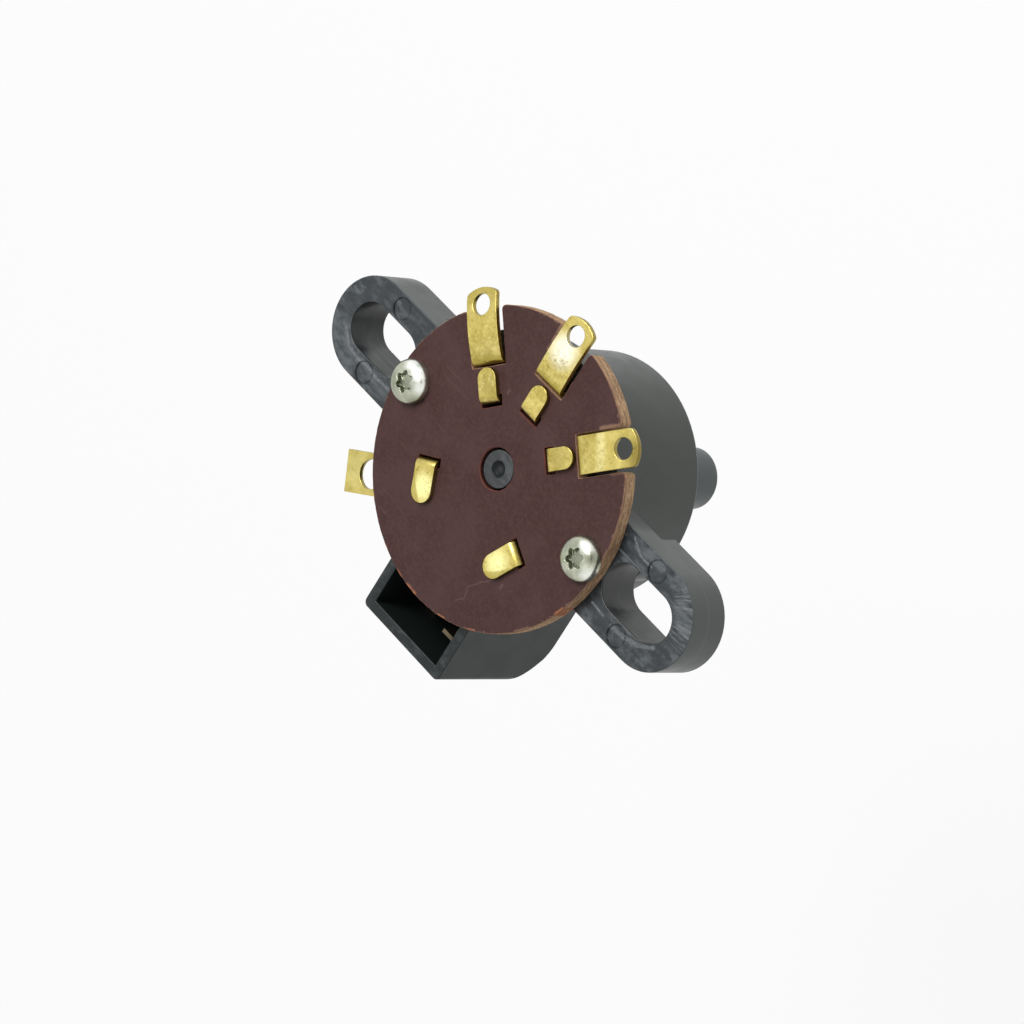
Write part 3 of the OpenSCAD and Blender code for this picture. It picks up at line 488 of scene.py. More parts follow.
def moulding(name, top_base, side_base, pale, ears=True):
    """Satin black plastic: mottled colour, scuffs, marks on the ears or journal, and painted light and shade.
    """
    material, n, shader = new_material(name)
    here, coarse, fine, marks = surface(n, coarse_scale=480.0, fine_scale=3600.0, scratched=0.5)
    at, top = n.parts(here), n.ramp(facing_up(n), 0.7, 0.95)
    cloud = n.noise(n.place(here, (800, 1500, 800), (0, 0, 0.5)), 1.0, 5.0, 0.65)
    scuff = n.times(n.ramp(coarse, 0.38, 0.62, 0.2, 1.0), n.ramp(cloud, 0.40, 0.66, 0.0, 0.55))
    # Painted shade: towards the spring's pocket the colour goes nearly black, pale marks fade and gloss
    # drops.
    pocket_shade = n.ramp(at["Y"], *POCKET_Y, 1.0, 0.0)
    line, parting, slot_blotch_shade, lit_side = 0.0, 0.0, 0.0, side_base
    if ears:
        on_ear = n.ramp(n.math("ABSOLUTE", at["X"]), EAR_ROOT_X * MM, (EAR_ROOT_X + 1) * MM)
        gap = n.group(slot_line, Vector=here)["Distance"]
        # Painted light: the broad lighter strokes join the scuffs on the ears' tops.
        scuff = n.most(scuff, n.times(n.strokes(here, LIT_PATCHES), n.ramp(cloud, 0.36, 0.62, 0.12, 0.55)))
        line, parting = ear_lines(n, here, at["Z"], fine, top, on_ear)
        groove_shade, slot_blotch_shade = ear_hollows(n, here, at["X"], gap, cloud, top, on_ear)
        # Painted light: outside the slot an ear's sides take the lighter colour, and the slot's walls stay
        # darker.
        lit_side = n.mix(n.times(n.ramp(gap, 0.5, 1.2), on_ear), side_base, EAR_SIDE_LIT)
    else:
        from_axis = n.vector("LENGTH", n.vector("MULTIPLY", here, (1, 1, 0)))
        above = n.math("GREATER_THAN", at["Z"], PLATE_LOW * MM)
        # Painted shade in the dimple at the journal's end, darker towards its edge.
        dimple = n.times(n.ramp(from_axis, DIMPLE_R * MM, (DIMPLE_R + 0.08) * MM, 1.0, 0.0), above)
        groove_shade = n.times(dimple, n.ramp(from_axis, 0.05 * MM, 0.5 * MM, 0.5, 0.9))
    light = n.most(n.times(n.most(marks, scuff), top), line, parting)
    light = n.times(light, n.lack(n.times(pocket_shade, 0.6)))
    # Painted light: faces turned up take the top colour, and the others the lighter side colour.
    base = n.mix(n.times(pocket_shade, 0.85), n.mix(top, lit_side, top_base), POCKET_SHADE)
    tone = n.mix(n.times(line, 0.4), n.mix(light, base, pale), FLASH_PALE)
    # Painted shade: mark rings, the journal's dimple and the slots' blotches darken towards near black.
    n.feed(shader, "Base Color", n.mix(n.most(groove_shade, slot_blotch_shade), tone, GROOVE_SHADE))
    n.feed(shader, "Roughness", n.math("ADD", n.ramp(coarse, 0.3, 0.7, 0.34, 0.42), n.times(light, 0.3)))
    raised = n.math("ADD", n.times(fine, 0.3), n.times(line, 1.2))
    relief = n.math("ADD", raised, n.times(coarse, top, 0.8))
    n.bump(shader, relief, strength=0.4, distance=0.02)
    gloss = n.ramp(pocket_shade, 0.0, 1.0, 0.50, 0.32)
    n.feed(shader, "Specular IOR Level", n.times(gloss, n.lack(n.times(groove_shade, 0.75))))
    return material


housing_plastic = moulding("housing_plastic_look", top_base=(0.010, 0.016, 0.020, 1),
                           side_base=(0.036, 0.043, 0.037, 1), pale=(0.16, 0.175, 0.185, 1))
rotor_plastic = moulding("rotor_plastic_look", top_base=(0.018, 0.021, 0.022, 1),
                         side_base=(0.068, 0.083, 0.082, 1), pale=(0.13, 0.14, 0.15, 1), ears=False)
print("materials:", housing_plastic.name, rotor_plastic.name)

# %% [markdown]
# ## Rounding a moulded piece
#
# A moulding has no knife edges. Its solid can stay as it is, so a copy of its mesh is merged, its flat
# faces are joined, and a Bevel rounds each edge by about a tenth of a millimetre. Each edge carries a
# weight for the Bevel: one where its two faces meet at a steep angle, and none where the piece is too fine
# to be rounded, as at the shallow ejector marks. Such an edge stays sharp. All faces are shaded smooth,
# and the normals are weighed by the faces' areas, so that the large flat ones look flat.

# %% Rounded copies of solids
MERGE_DIST, FLAT_ANGLE, STEEP_ANGLE = 1e-6, 0.009, 0.5


def edge_angles(mesh):
    """Angle between the two faces at each edge: arccos of the product of their normals."""
    edge_of_corner = read(mesh.loops, "edge_index", kind=np.int64)
    corners_of_face = read(mesh.polygons, "loop_total", kind=np.int64)
    normals = read(mesh.polygons, "normal", 3)
    face_of_corner = np.repeat(np.arange(len(corners_of_face)), corners_of_face)
    pairs = face_of_corner[np.argsort(edge_of_corner, kind="stable")].reshape(-1, 2)
    return np.arccos(np.clip((normals[pairs[:, 0]] * normals[pairs[:, 1]]).sum(1), -1, 1))


def rounded_copy(node, width, spare=None, steep=STEEP_ANGLE):
    """The node's merged mesh, with its steep edges bevelled by width, in mm, but for those spare picks."""
    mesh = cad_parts[node].data.copy()
    mesh.name = node + "_look"
    work = bmesh.new()
    work.from_mesh(mesh)
    bmesh.ops.remove_doubles(work, verts=work.verts, dist=MERGE_DIST)
    bmesh.ops.dissolve_limit(work, angle_limit=FLAT_ANGLE, verts=work.verts, edges=work.edges)
    work.to_mesh(mesh)
    work.free()
    middle = read(mesh.vertices, "co", 3)[read(mesh.edges, "vertices", 2, np.int64)].mean(1) / MM
    sharp = edge_angles(mesh) > steep
    left = spare(middle) if spare is not None else np.zeros(len(sharp), bool)
    weight = (sharp & ~left).astype(np.float32)
    layer = mesh.attributes.new("bevel_weight_edge", "FLOAT", "EDGE")
    layer.data.foreach_set("value", weight)
    mesh.polygons.foreach_set("use_smooth", np.ones(len(mesh.polygons), bool))
    mesh.edges.foreach_set("use_edge_sharp", sharp & left)
    made = new_object(node + "_look", mesh)
    bevel = made.modifiers.new("rounded edges", "BEVEL")
    bevel.limit_method = "WEIGHT"
    bevel.width = width * MM
    bevel.segments = 2
    bevel.use_clamp_overlap = False
    weigh = made.modifiers.new("normals by face area", "WEIGHTED_NORMAL")
    weigh.keep_sharp = True
    print(node, "edges rounded:", int(weight.sum()), "of", len(weight))
    return made


# %% Housing
MARK_REACH, MARK_LOW = 1.2, 4.5
CUP_IN_R, CUP_LOW = 10.9, -8.4


def shallow_marks(middle):
    """True where an edge belongs to an ejector mark on an ear, or lies inside the cup or under it."""
    near = np.hypot(np.abs(middle[:, 0]) - SLOT_X, np.abs(middle[:, 1]) - MARK_Y) < MARK_REACH
    inside = np.hypot(middle[:, 0], middle[:, 1]) < CUP_IN_R
    return near & (middle[:, 2] > MARK_LOW) | inside | (middle[:, 2] < CUP_LOW)


housing = rounded_copy("housing", width=0.12, spare=shallow_marks)
dress(housing, housing_plastic, "housing_plastic", "switch_frame", "housing")

# %% Rotor
FLAT_START_Z, STEP_REACH = -13.5, 0.2


def flat_step(middle):
    """True where an edge belongs to the step at which the drive flat starts, too fine to be rounded."""
    return np.abs(middle[:, 2] - FLAT_START_Z) < STEP_REACH


rotor = rounded_copy("rotor", width=0.08, spare=flat_step)
dress(rotor, rotor_plastic, "rotor_plastic", "rotor_unit", "rotor")

# %% [markdown]
# ## The phenolic plate
#
# The plate is punched from a laminate of paper and resin. Its faces are smooth, matt and dark red, and its
# punched edge shows the torn paper: tan, streaked along the layers and a little ragged. The plate is made
# here as loops of points: the rim with its three notches, and the holes and slots. Each loop is carried
# down through the thickness as a wall of rows, and the two faces are filled between the loops. The faces
# have long thin triangles, so they are shaded flat, and only the walls are smooth.

# %% Loops of the plate
def turned(points, degrees):
    """Points turned about the shaft axis."""
    a = np.radians(degrees)
    return points @ np.array([[np.cos(a), np.sin(a)], [-np.sin(a), np.cos(a)]])


def resampled(points, step):
    """The closed loop with a point about every step, measured along it, corners kept."""
    sides = []
    for a, b in zip(points, np.roll(points, -1, 0)):
        count = max(1, int(np.ceil(np.hypot(*(b - a)) / step)))
        sides.append(a + (b - a) * np.linspace(0, 1, count, endpoint=False)[:, None])
    return np.concatenate(sides)


def arc(centre, radius, start, end, count):
    """Points of an arc: centre plus radius times the cosine and sine of the angle."""
    a = np.radians(np.linspace(start, end, count))
    return np.stack([centre[0] + radius * np.cos(a), centre[1] + radius * np.sin(a)], 1)


print("a round hole of 5 points:", arc((0, 0), 1.0, 360, 0, 6)[:-1].round(2).tolist())

# %% Rim and holes of the plate
NOTCH_W, NOTCH_R, NOTCH_CORNER = 3.9, 9.45, 0.5
PILOT_R, POINT_STEP = 1.95, 0.25
# A tab slot and an anchor slot: near side, far side and half width
TAB_SLOT, ANCHOR_SLOT = (5.73, 6.68, 1.2), (-0.4, 0.4, 1.325)
# An anchor slot's own turn, its distance from the axis, and its place from -Y, in degrees
ANCHOR_TURN, ANCHOR_OUT, ANCHOR_PLACE = 84.0, 8.1, 57.0
half = NOTCH_W / 2
corner_y = half + NOTCH_CORNER
corner_x = np.sqrt((PLATE_R - NOTCH_CORNER) ** 2 - corner_y ** 2)
rim_a = np.degrees(np.arctan2(corner_y, corner_x))
notch = np.concatenate([
    arc((corner_x, -corner_y), NOTCH_CORNER, -rim_a, 90, 8),
    [[NOTCH_R, -half], [NOTCH_R, half]],
    arc((corner_x, corner_y), NOTCH_CORNER, -90, rim_a, 8)])
rim = []
for at, to, count in ((1, 2, 24), (2, 3, 24), (3, 9, 240)):
    rim += [turned(notch, at * STEP),
            arc((0, 0), PLATE_R, at * STEP + rim_a, to * STEP - rim_a, count)[1:-1]]


def window(x0, x1, half_w):
    """A rectangle from x0 to x1, clockwise, so that the plate lies on its left."""
    return np.array([[x0, -half_w], [x0, half_w], [x1, half_w], [x1, -half_w]])


def anchor_place(points, side):
    """Points of an anchor slot turned and moved to its place, on one side or the other of -Y."""
    return turned(turned(points, side * ANCHOR_TURN) + [ANCHOR_OUT, 0], -90 - side * ANCHOR_PLACE)


holes = [arc((0, 0), PILOT_R, 360, 0, 73)[:-1]]
holes += [turned(window(*TAB_SLOT), k * STEP) for k in (1, 2, 3)]
holes += [anchor_place(window(*ANCHOR_SLOT), side) for side in (1, -1)]
holes += [arc((side * SCREW_R, 0), SCREW_HOLE_R, 360, 0, 41)[:-1] for side in (1, -1)]
loops = [resampled(loop, POINT_STEP) for loop in [np.concatenate(rim)] + holes]
print("loops:", len(loops), "points:", sum(len(q) for q in loops))

# %% Helpers for the plate's walls and faces
def inward(loop):
    """Unit steps into the plate: the loop's direction turned a quarter turn to its left."""
    along = np.roll(loop, -1, 0) - np.roll(loop, 1, 0)
    along /= np.linalg.norm(along, axis=1)[:, None]
    return np.stack([-along[:, 1], along[:, 0]], 1)


def ragged(count, seed, size):
    """A closed row of small random steps from 0 to size, smoothed over neighbours."""
    raw = np.random.default_rng(seed).random(count)
    smooth = (raw + np.roll(raw, 1) + np.roll(raw, -1)) / 3
    return size * (smooth - smooth.min()) / np.ptp(smooth)


def encloses(loop, spots):
    """True for each spot inside the loop: a ray to the right crosses the loop an odd number of times."""
    a, b = loop, np.roll(loop, -1, 0)
    x, y = spots[:, :1], spots[:, 1:]
    spans = (a[:, 1] > y) != (b[:, 1] > y)
    rise = np.where(b[:, 1] == a[:, 1], 1, b[:, 1] - a[:, 1])
    meets = a[:, 0] + (y - a[:, 1]) * (b[:, 0] - a[:, 0]) / rise
    return (spans & (x < meets)).sum(1) % 2 == 1


print("the rim's first point steps in by", inward(loops[0])[0].round(3).tolist())

# %% Walls of the plate
# Height below the top face, and how far the wall is set back there
WALL_ROWS = [(0.0, 0.09), (0.05, 0.03), (0.16, 0.0), (0.45, 0.01), (0.75, 0.0), (1.05, 0.01), (1.34, 0.0),
             (1.45, 0.03), (1.5, 0.08)]
LAST_ROW = len(WALL_ROWS) - 1
ROUGH_WALL, ROUGH_FACE, FACE_CUT = 0.05, 0.03, 0.35
points, faces, uv_mm, cut, on_rim, firsts = [], [], [], [], [], []
start = 0
for k, loop in enumerate(loops):
    step_in = inward(loop)
    length = np.concatenate([[0], np.cumsum(np.linalg.norm(np.diff(loop, axis=0), axis=1))])
    for r, (down, back) in enumerate(WALL_ROWS):
        at_face = r in (0, LAST_ROW)
        rough = ragged(len(loop), SEED + 31 * k + r, ROUGH_FACE if at_face else ROUGH_WALL)
        p = loop + step_in * (back + rough)[:, None]
        points.append(np.column_stack([p, np.full(len(p), PLATE_TOP - down)]))
        uv_mm.append(np.column_stack([length, np.full(len(p), down)]))
        cut.append(np.full(len(p), FACE_CUT if at_face else 1.0))
        on_rim.append(np.full(len(p), 1.0 if k == 0 else 0.0))
    faces.append(quad_faces(len(WALL_ROWS), len(loop)) + start)
    firsts.append(start)
    start += len(loop) * len(WALL_ROWS)
points = np.concatenate(points)
faces = [tuple(f) for f in np.concatenate(faces)]
print("wall points:", len(points), "faces:", len(faces))

# %% Faces of the plate
for row, flip in ((0, False), (LAST_ROW, True)):
    ring_ids = [f + row * len(loop) + np.arange(len(loop)) for f, loop in zip(firsts, loops)]
    flat = np.concatenate(ring_ids)
    edges, base = [], 0
    for ids in ring_ids:
        j = np.arange(len(ids))
        edges += [(base + a, base + b) for a, b in zip(j, np.roll(j, -1))]
        base += len(ids)
    filled = geometry.delaunay_2d_cdt([Vector(points[i][:2]) for i in flat], edges, [], 1, 1e-6)
    corners = np.array([[filled[3][v][0] for v in tri] for tri in filled[2]])
    middle = points[flat[corners], :2].mean(1)
    kept = sum(encloses(points[ids, :2], middle).astype(int) for ids in ring_ids) == 1
    for tri in corners[kept].tolist():
        faces.append(tuple(flat[tri[::-1] if flip else tri].tolist()))
print("walls and faces:", len(faces))

# %% Mesh of the plate
LEVEL = 0.999
plate_mesh = mesh_from("terminal_plate_look", points, faces)
layer = plate_mesh.uv_layers.new(name="along_edge")
corner = read(plate_mesh.loops, "vertex_index", kind=np.int64)
layer.data.foreach_set("uv", np.concatenate(uv_mm)[corner].ravel())
for name, values in (("cut_edge", cut), ("rim", on_rim)):
    shares = plate_mesh.attributes.new(name, "FLOAT", "POINT")
    shares.data.foreach_set("value", np.concatenate(values))
shade(plate_mesh, angle=0.9)
upright = np.abs(read(plate_mesh.polygons, "normal", 3)[:, 2])
plate_mesh.polygons.foreach_set("use_smooth", upright < LEVEL)
terminal_plate = new_object("terminal_plate_look", plate_mesh)
print("plate faces:", len(plate_mesh.polygons))

# %% [markdown]
# ## Phenolic paper
#
# The resin is a dark red-brown with fine mottling from the paper's fibres. The cut edge mixes to tan by
# the attribute that the walls carry, with streaks that run along the edge because they are read from the
# wall's own coordinates: distance along the loop, and depth. The walls of the holes and slots are painted
# in shade that deepens with depth, below a lighter top edge. Where the rim is chipped or a notch is torn,
# the broken laminate shows on the face as well: those places are strokes, broken up by noise.

# %% Places and colours on the plate
# Strokes on the plate, from x, y to x, y and how wide, in millimetres
PLATE_SCRATCHES = [(3.8, -12.2, 4.5, -11.5, 0.07), (4.5, -11.5, 4.15, -10.3, 0.07),
                   (4.15, -10.3, 6.0, -8.1, 0.08), (7.2, -8.1, 7.25, -7.7, 0.2), (-3.3, 6.1, -3.3, 6.5, 0.16)]
TORN_EDGES = [(-2.0, 12.2, -2.1, 14.7, 0.4), (7.4, 10.3, 9.1, 12.0, 0.45), (10.7, 8.0, 11.8, 9.0, 0.35),
              (9.0, 11.9, 8.2, 12.5, 0.4)]
CHIPPED_RIM = [(-1.6, -14.95, -0.5, -15.0, 0.42), (-3.4, -14.65, -2.8, -14.75, 0.34),
               (-6.1, -13.7, -5.7, -13.9, 0.26), (3.0, -14.7, 3.7, -14.5, 0.3),
               (6.6, -13.5, 7.3, -13.15, 0.3), (13.8, -5.8, 14.2, -4.9, 0.34)]
RESIN_DARK, RESIN_RED = (0.044, 0.016, 0.014, 1), (0.058, 0.026, 0.024, 1)
RESIN_SPECK, RESIN_SCRATCHED = (0.080, 0.036, 0.033, 1), (0.20, 0.12, 0.105, 1)
RESIN_BROKEN, RESIN_CHIPPED = (0.24, 0.14, 0.10, 1), (0.33, 0.13, 0.065, 1)
PAPER_BROWN, PAPER_TAN = (0.15, 0.082, 0.045, 1), (0.68, 0.45, 0.26, 1)
PAPER_STAIN, PAPER_TOP = (0.16, 0.085, 0.05, 1), (0.27, 0.14, 0.095, 1)
PUNCHED_TOP, PUNCHED_SHADE = (0.19, 0.062, 0.045, 1), (0.045, 0.014, 0.010, 1)
print("broken places on the rim:", len(TORN_EDGES + CHIPPED_RIM))

# %% Phenolic material
phenolic, n, shader = new_material("phenolic_paper_look")
here, coarse, fine, marks = surface(n, coarse_scale=240.0, fine_scale=3000.0, scratched=0.16)
on_wall = n.add("ShaderNodeUVMap", set_uv_map="along_edge").outputs["UV"]
resin = n.mix(n.ramp(coarse, 0.35, 0.65), RESIN_DARK, RESIN_RED)
resin = n.mix(n.ramp(fine, 0.35, 0.72, 0, 0.5), resin, RESIN_SPECK)
resin = n.mix(n.most(marks, n.times(n.strokes(here, PLATE_SCRATCHES), 0.3)), resin, RESIN_SCRATCHED)
flow = n.place(on_wall, (1.3, 9.0, 1.0))
fibres = n.noise(flow, 1.6, 5.0, 0.65)
depth = n.parts(on_wall)["Y"]
paper = n.mix(n.ramp(fibres, 0.3, 0.62), PAPER_BROWN, PAPER_TAN)
paper = n.mix(n.ramp(n.noise(flow, 0.35, 2.0), 0.42, 0.62, 0, 0.5), paper, PAPER_STAIN)
paper = n.mix(n.ramp(depth, 0.06, 0.26, 0.7, 0.0), paper, PAPER_TOP)
# Painted light and shade: the walls of holes and slots are lighter at their top edge and dark deeper down.
punched = n.mix(n.ramp(depth, 0.05, 0.18), PUNCHED_TOP, PUNCHED_SHADE)
paper = n.mix(n.add("ShaderNodeAttribute", set_attribute_name="rim").outputs["Fac"], punched, paper)
share = n.add("ShaderNodeAttribute", set_attribute_name="cut_edge").outputs["Fac"]
edge = n.ramp(n.math("ADD", share, n.times(n.noise(here, 2600.0, 2.0), 0.3)), 0.55, 0.75)
at = n.parts(here)
at_rim = n.ramp(n.hypot(at["X"], at["Y"]), (PLATE_R - 0.3) * MM, (PLATE_R - 0.05) * MM)
chips = n.times(at_rim, n.ramp(n.noise(here, 900.0, 3.0), 0.56, 0.62))
crumbs = n.noise(here, 1500.0, 3.0)
broken = n.most(chips, n.times(n.strokes(here, TORN_EDGES), n.ramp(crumbs, 0.3, 0.55)))
chipped = n.times(n.strokes(here, CHIPPED_RIM), n.ramp(crumbs, 0.35, 0.5, 0.3, 1.0))
tone = n.mix(n.times(broken, n.lack(edge)), n.mix(edge, resin, paper), RESIN_BROKEN)
n.feed(shader, "Base Color", n.mix(chipped, tone, RESIN_CHIPPED))
rough = n.most(edge, broken)
n.feed(shader, "Roughness", n.ramp(rough, 0, 1, 0.55, 0.85))
shader.inputs["Specular IOR Level"].default_value = 0.24
rough_height = n.times(n.math("ADD", fibres, n.noise(here, 2200.0, 3.0)), 1.6)
relief = n.add("ShaderNodeMix", _0=rough, _2=n.times(fine, 0.22), _3=rough_height)
n.bump(shader, relief, strength=0.5, distance=0.03)
dress(terminal_plate, phenolic, "phenolic_paper", "switch_frame", "terminal_plate")

# %% [markdown]
# ## Brass strip and zinc plate
#
# The terminals are stamped from rolled brass. It is yellow and bright where it mirrors the lamps, darker
# where it mirrors the room, and tarnished in fine specks and pits. The specks are noise pushed through a
# narrow ramp, and the rolling marks are noise stretched a long way in one direction. Some places carry
# painted highlights and some are darker, on the brass and on the zinc of the screws, whose darker places
# are painted dark reflections: each is a ball round a place that fades out at its reach. The lugs were
# struck as they were formed, so they are beaten in spots too: a bump, with the dents' shade and glints
# painted into the colour. Where the metal turns away from up, at the lugs' bends and in the screws'
# recesses, the colour carries painted shade.

# %% Places and colours on the metals
# Each place is given as (x, y, z, reach, strength), in millimetres
# Darker brass round these places.
DARKER_BRASS = [(12.5, 11.4, 6.6, 2.4, 1.0), (-7.2, 7.6, 6.7, 1.0, 0.45), (5.4, 5.4, 6.7, 1.5, 0.45),
             (-5.3, 5.5, 6.7, 1.5, 0.5)]
# Painted highlights: pale and yellow balls on lug 2, the anchor tabs and below the rim, and a row across lug
# 1.
HIGHLIGHT_YELLOW = [(-5.5, -6.4, 6.7, 1.9, 1.0), (5.8, -6.3, 6.7, 1.8, 1.0), (-14.6, -11.4, 4.4, 2.2, 0.25)]
HIGHLIGHT_PALE = [(-0.2, 13.3, 6.75, 2.3, 1.0)]
HIGHLIGHT_BAND = [(8.1, 9.9, 6.7, 0.8, 0.5), (8.5, 9.45, 6.7, 0.8, 0.55), (8.9, 8.95, 6.7, 0.8, 0.55),
             (9.3, 8.45, 6.7, 0.8, 0.55), (9.7, 7.95, 6.7, 0.8, 0.5)]
BLOW_SHADE, BLOW_GLINT = (0.36, 0.28, 0.07, 1), (0.92, 0.84, 0.42, 1)
BRASS_PLACES = ((DARKER_BRASS, (0.27, 0.21, 0.055, 1)), (HIGHLIGHT_YELLOW, (0.98, 0.93, 0.42, 1)),
                (HIGHLIGHT_PALE, (0.99, 0.96, 0.76, 1)), (HIGHLIGHT_BAND, (0.95, 0.89, 0.44, 1)))
# Painted highlights and painted dark reflections on the screw heads' domes.
ZINC_HIGHLIGHTS = [(-13.5, 1.8, 7.1, 1.2, 0.95), (-12.2, 1.5, 7.1, 1.3, 0.95), (-11.4, 0.6, 6.9, 1.1, 0.8),
               (13.3, 1.6, 7.1, 1.1, 0.8), (14.9, -0.4, 6.8, 1.2, 0.7)]
ZINC_DARK_REFLECTIONS = [(-11.1, -1.0, 6.6, 1.4, 0.8), (-12.6, -2.1, 6.6, 1.3, 0.5), (14.3, 1.1, 7.2, 0.8, 0.7),
             (13.4, -1.9, 6.7, 1.4, 0.6), (11.0, 0.6, 6.7, 1.2, 0.45)]
ZINC_PLACES = ((ZINC_HIGHLIGHTS, (0.97, 0.99, 0.93, 1)), (ZINC_DARK_REFLECTIONS, (0.19, 0.185, 0.13, 1)))
BEND_SHADE, RECESS_SHADE = (0.36, 0.285, 0.05, 1), (0.15, 0.165, 0.125, 1)
PIT_SHARES, TURNED_SHADE_SHARES = (0.25, 0.22, 0.2), (0.45, 0.42, 0.4)


def taken_down(colour, shares):
    """The colour with its red, green and blue each taken down to a share."""
    return tuple(part * share for part, share in zip(colour, shares)) + (1,)


def placed(n, here, fine, tone, places):
    """The tone mixed to the colours of the places round it, each a ball that fades out at its reach."""
    for marked, colour in places:
        found = 0.0
        for x, y, z, reach, strength in marked:
            away = n.vector("DISTANCE", here, (x * MM, y * MM, z * MM))
            found = n.most(n.ramp(away, 0.2 * reach * MM, reach * MM, strength, 0.0), found)
        tone = n.mix(n.times(found, n.ramp(fine, 0.35, 0.6, 1.0, 0.85)), tone, colour)
    return tone


print("colours of places on brass:", len(BRASS_PLACES), "on zinc:", len(ZINC_PLACES))

# %% Metal materials
# Distances from the axis, from where to where: the beaten end of a lug, and the bend's two sides
LUG_END, BEND_OUT, BEND_IN = (12.0 * MM, 13.5 * MM), (10.1 * MM, 10.6 * MM), (9.2 * MM, 9.4 * MM)


def metal(name, bright, dull, roughness, specks, places=(), turned_shade=0.0, struck=0.0):
    """A metal: bright to dull with mottling and pits, plus painted highlights, darker places and painted
    shade.
    """
    material, n, shader = new_material(name)
    here, coarse, fine, marks = surface(n, coarse_scale=520.0, fine_scale=3300.0, scratched=0.6)
    pits = n.times(n.ramp(fine, 0.60, 0.67), n.ramp(coarse, 0.45, 0.6), specks)
    tone = n.mix(n.ramp(coarse, 0.3, 0.7), bright, dull)
    tone = n.mix(n.ramp(fine, 0.4, 0.65, 0.0, 0.3), tone, dull)
    tone = placed(n, here, fine, tone, places)
    rolled = n.noise(n.place(here, (500, 5000, 2000)), 1.0, 2.0)
    dents = n.times(n.noise(here, 800.0, 1.0), 1.6)
    relief = n.math("ADD", n.times(rolled, 0.25), dents)
    if struck:
        blows = n.noise(here, 2300.0, 2.0)
        from_axis = n.vector("LENGTH", n.vector("MULTIPLY", here, (1, 1, 0)))
        lug_side = n.ramp(n.parts(here)["Y"], -1 * MM, 1 * MM, 0.25, 1.0)
        beaten = n.times(n.ramp(from_axis, *LUG_END, 0.8, 0.2), lug_side)
        # Painted shade and glints of the dents: dark and light spots laid over the struck bump.
        tone = n.mix(n.times(n.ramp(blows, 0.48, 0.64), n.times(beaten, 0.55)), tone, BLOW_SHADE)
        tone = n.mix(n.times(n.ramp(blows, 0.30, 0.42, 1.0, 0.0), n.times(beaten, 0.32)), tone, BLOW_GLINT)
        # Painted shade in a band where each lug bends down through the plate.
        bend_shade = n.times(n.ramp(from_axis, *BEND_OUT, 0.65, 0.0), n.ramp(from_axis, *BEND_IN))
        tone = n.mix(bend_shade, tone, BEND_SHADE)
        relief = n.math("ADD", relief, n.times(blows, n.times(beaten, struck)))
    hollow = n.add("ShaderNodeAttribute", set_attribute_name="recess").outputs["Fac"]
    # Painted shade in the screws' star recesses.
    tone = n.mix(n.times(n.ramp(hollow, 0.1, 0.6), 0.6), tone, RECESS_SHADE)
    tone = n.mix(pits, tone, taken_down(dull, PIT_SHARES))
    # Painted shade: the colour darkens where the metal turns away from up.
    tone = n.mix(n.ramp(facing_up(n), 0.45, 0.93, turned_shade, 0.0), tone, taken_down(dull, TURNED_SHADE_SHARES))
    n.feed(shader, "Base Color", tone)
    shader.inputs["Metallic"].default_value = 1.0
    spread = n.math("ADD", n.times(rolled, 0.12), n.times(pits, 0.25))
    n.feed(shader, "Roughness", n.math("ADD", spread, roughness))
    relief = n.math("SUBTRACT", relief, n.math("ADD", pits, n.times(marks, 0.4)))
    n.bump(shader, relief, strength=0.6, distance=0.03)
    return material


brass = metal("brass_strip_look", (0.66, 0.55, 0.18, 1), (0.46, 0.37, 0.09, 1), roughness=0.25, specks=0.45,
              places=BRASS_PLACES, turned_shade=0.6, struck=3.2)
silver = metal("silver_contact_look", (0.80, 0.80, 0.79, 1), (0.55, 0.55, 0.54, 1), roughness=0.25,
               specks=0.3)
# The spring's brown is its own tint, made very dark as painted shade for the spring deep in its pocket.
spring_steel = metal("spring_steel_look", (0.17, 0.135, 0.09, 1), (0.10, 0.08, 0.055, 1), roughness=0.4,
                     specks=0.4)
zinc = metal("zinc_screw_look", (0.60, 0.62, 0.50, 1), (0.30, 0.32, 0.24, 1), roughness=0.2, specks=0.1,
             places=ZINC_PLACES)
print("metals:", brass.name, silver.name, spring_steel.name, zinc.name)

# %% Terminals
for name in ("speed_terminal_1", "speed_terminal_2", "speed_terminal_3", "common_terminal"):
    dress(rounded_copy(name, width=0.05, steep=0.9), brass, "brass_strip", "switch_frame", name)

# %% [markdown]
# ## Plate screws
#
# A pan head is a dome that falls off faster and faster towards its rim, and its star recess has six lobes.
# The head is a grid of circles round the screw's axis: the height of each circle comes from the dome, and
# inside the star's outline the grid is pushed down. The shank goes on below it as more circles.

# %% Plate screws
HEAD_R, HEAD_H, DOME_POWER, FLANK_POWER = 2.15, 1.3, 3.2, 3.0
STAR_R, STAR_LOBE, STAR_DEEP, STAR_WALL = 0.96, 0.15, 0.5, 0.24
THREAD_R, THREAD_LOW, TIP_R, TIP_LOW = 1.1, -5.4, 0.15, -6.5
# Circles on top of the head: first and last radius and how many, closest at the star's wall
TOP_CIRCLES = ((0.03, 0.6, 7), (0.62, 1.24, 32), (1.3, 1.85, 10))
SIDE_FROM, SIDE_CIRCLES, HEAD_POINTS = 0.9, 12, 180


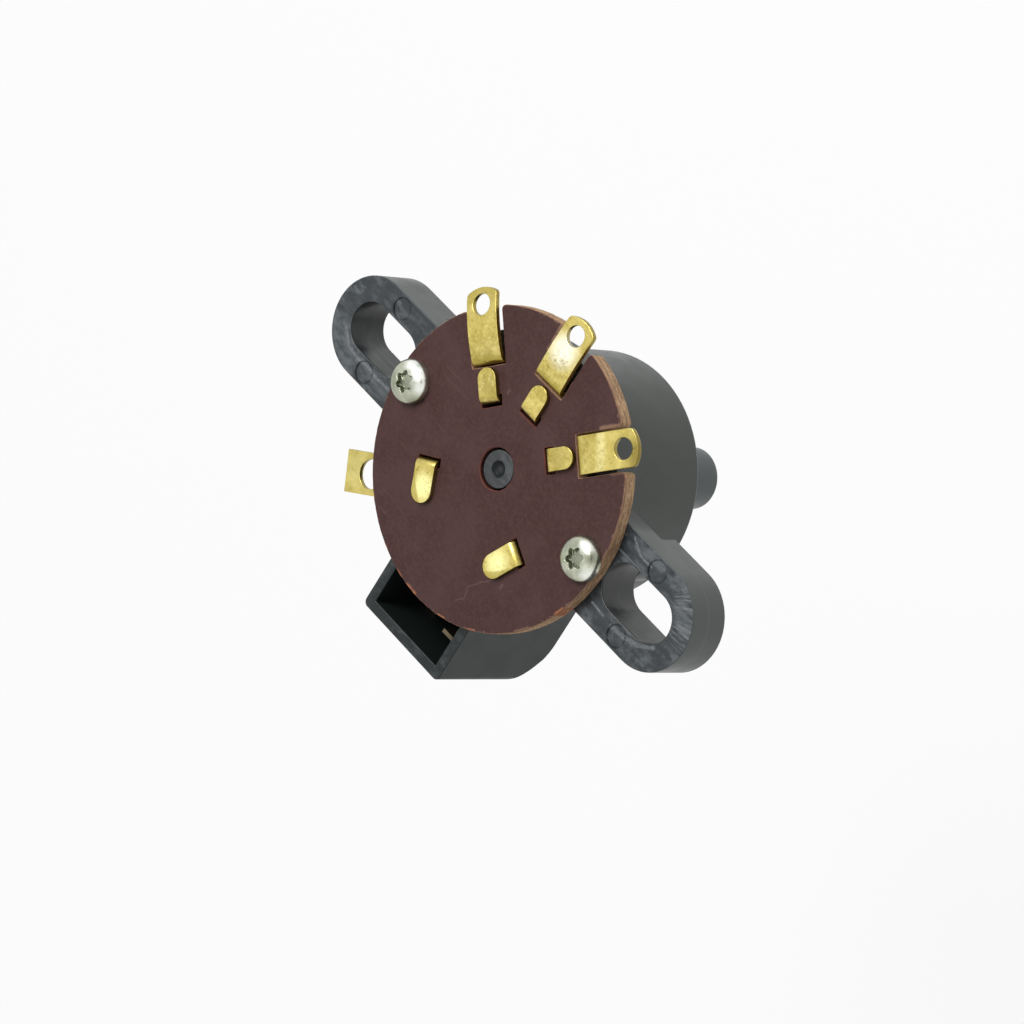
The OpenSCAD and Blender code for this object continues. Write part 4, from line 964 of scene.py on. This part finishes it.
def pan_screw(name, x, turn):
    """Head z = H (1 - (r / R)^p)^(1 / q), less the star where r < S + L cos 6a, and the shank below it."""
    a = np.linspace(0, 2 * np.pi, HEAD_POINTS, endpoint=False)[None, :]
    top_r = np.concatenate([np.linspace(*circles) for circles in TOP_CIRCLES])
    top_z = HEAD_H * (1 - (top_r / HEAD_R) ** DOME_POWER) ** (1 / FLANK_POWER)
    side_z = np.linspace(SIDE_FROM, 0, SIDE_CIRCLES)
    side_r = HEAD_R * (1 - (side_z / HEAD_H) ** FLANK_POWER) ** (1 / DOME_POWER)
    r = np.concatenate([top_r, side_r, [THREAD_R, THREAD_R, TIP_R]])[:, None]
    z = np.concatenate([top_z, side_z, [0, THREAD_LOW, TIP_LOW]])[:, None]
    share = np.clip((STAR_R + STAR_LOBE * np.cos(6 * a + turn) - r) / STAR_WALL, 0, 1)
    share = np.where(z > 0, share * share * (3 - 2 * share), 0)
    z = z - STAR_DEEP * share
    points = np.stack([x + r * np.cos(a), r * np.sin(a), PLATE_TOP + z + 0 * a], -1)
    rows, cols = points.shape[:2]
    last = (rows - 1) * cols
    faces = [tuple(f) for f in quad_faces(rows, cols).tolist()]
    faces += [tuple(range(cols)), tuple(range(last + cols - 1, last - 1, -1))]
    mesh = mesh_from(name + "_look", points, faces)
    hollow = mesh.attributes.new("recess", "FLOAT", "POINT")
    hollow.data.foreach_set("value", (share + 0 * a).ravel())
    shade(mesh, angle=1.2)
    return new_object(name + "_look", mesh)


for name, x, turn in (("plate_screw_1", -SCREW_R, 0.4), ("plate_screw_2", SCREW_R, 2.0)):
    dress(pan_screw(name, x, turn), zinc, "zinc_screw", "switch_frame", name)

# %% Pieces inside the cup
inside = {"contact_bridge": brass, "detent_spring": spring_steel, "contact_spring_a": spring_steel,
          "contact_spring_b": spring_steel}
inside.update({name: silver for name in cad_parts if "_contact_" in name})
for name, material in inside.items():
    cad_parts[name].data.materials.clear()
    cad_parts[name].data.materials.append(material)
print("nodes with a new material:", len(inside))

# %% [markdown]
# ## The floor
#
# A switch held by its ears in a tent has the ground far below it. The floor is a wide pale sheet that
# catches a soft shadow. Light Path lets it glow for the camera, also where a ray is mirrored, so it looks
# white without more light on the switch.

# %% Floor
FLOOR_Z, FLOOR_HALF, FLOOR_GLOW = -90.0, 900, 0.85
FLOOR_PALE = (0.9, 0.9, 0.9, 1)
floor_corners = [[x * FLOOR_HALF, y * FLOOR_HALF, FLOOR_Z] for x, y in SQUARE]
floor = new_object("floor", mesh_from("floor", floor_corners, [(0, 1, 2, 3)]))
floor_look, n, shader = new_material("floor_white")
shader.inputs["Base Color"].default_value = FLOOR_PALE
shader.inputs["Roughness"].default_value = 0.9
glow = n.add("ShaderNodeEmission", Strength=1.0, Color=TENT_WHITE)
blend = n.add("ShaderNodeMixShader", _0=n.times(n.looked_at(), FLOOR_GLOW), _1=shader, _2=glow)
n.feed(floor_look.node_tree.nodes["Material Output"], "Surface", blend)
floor.data.materials.append(floor_look)
print("floor at z", FLOOR_Z, "mm")
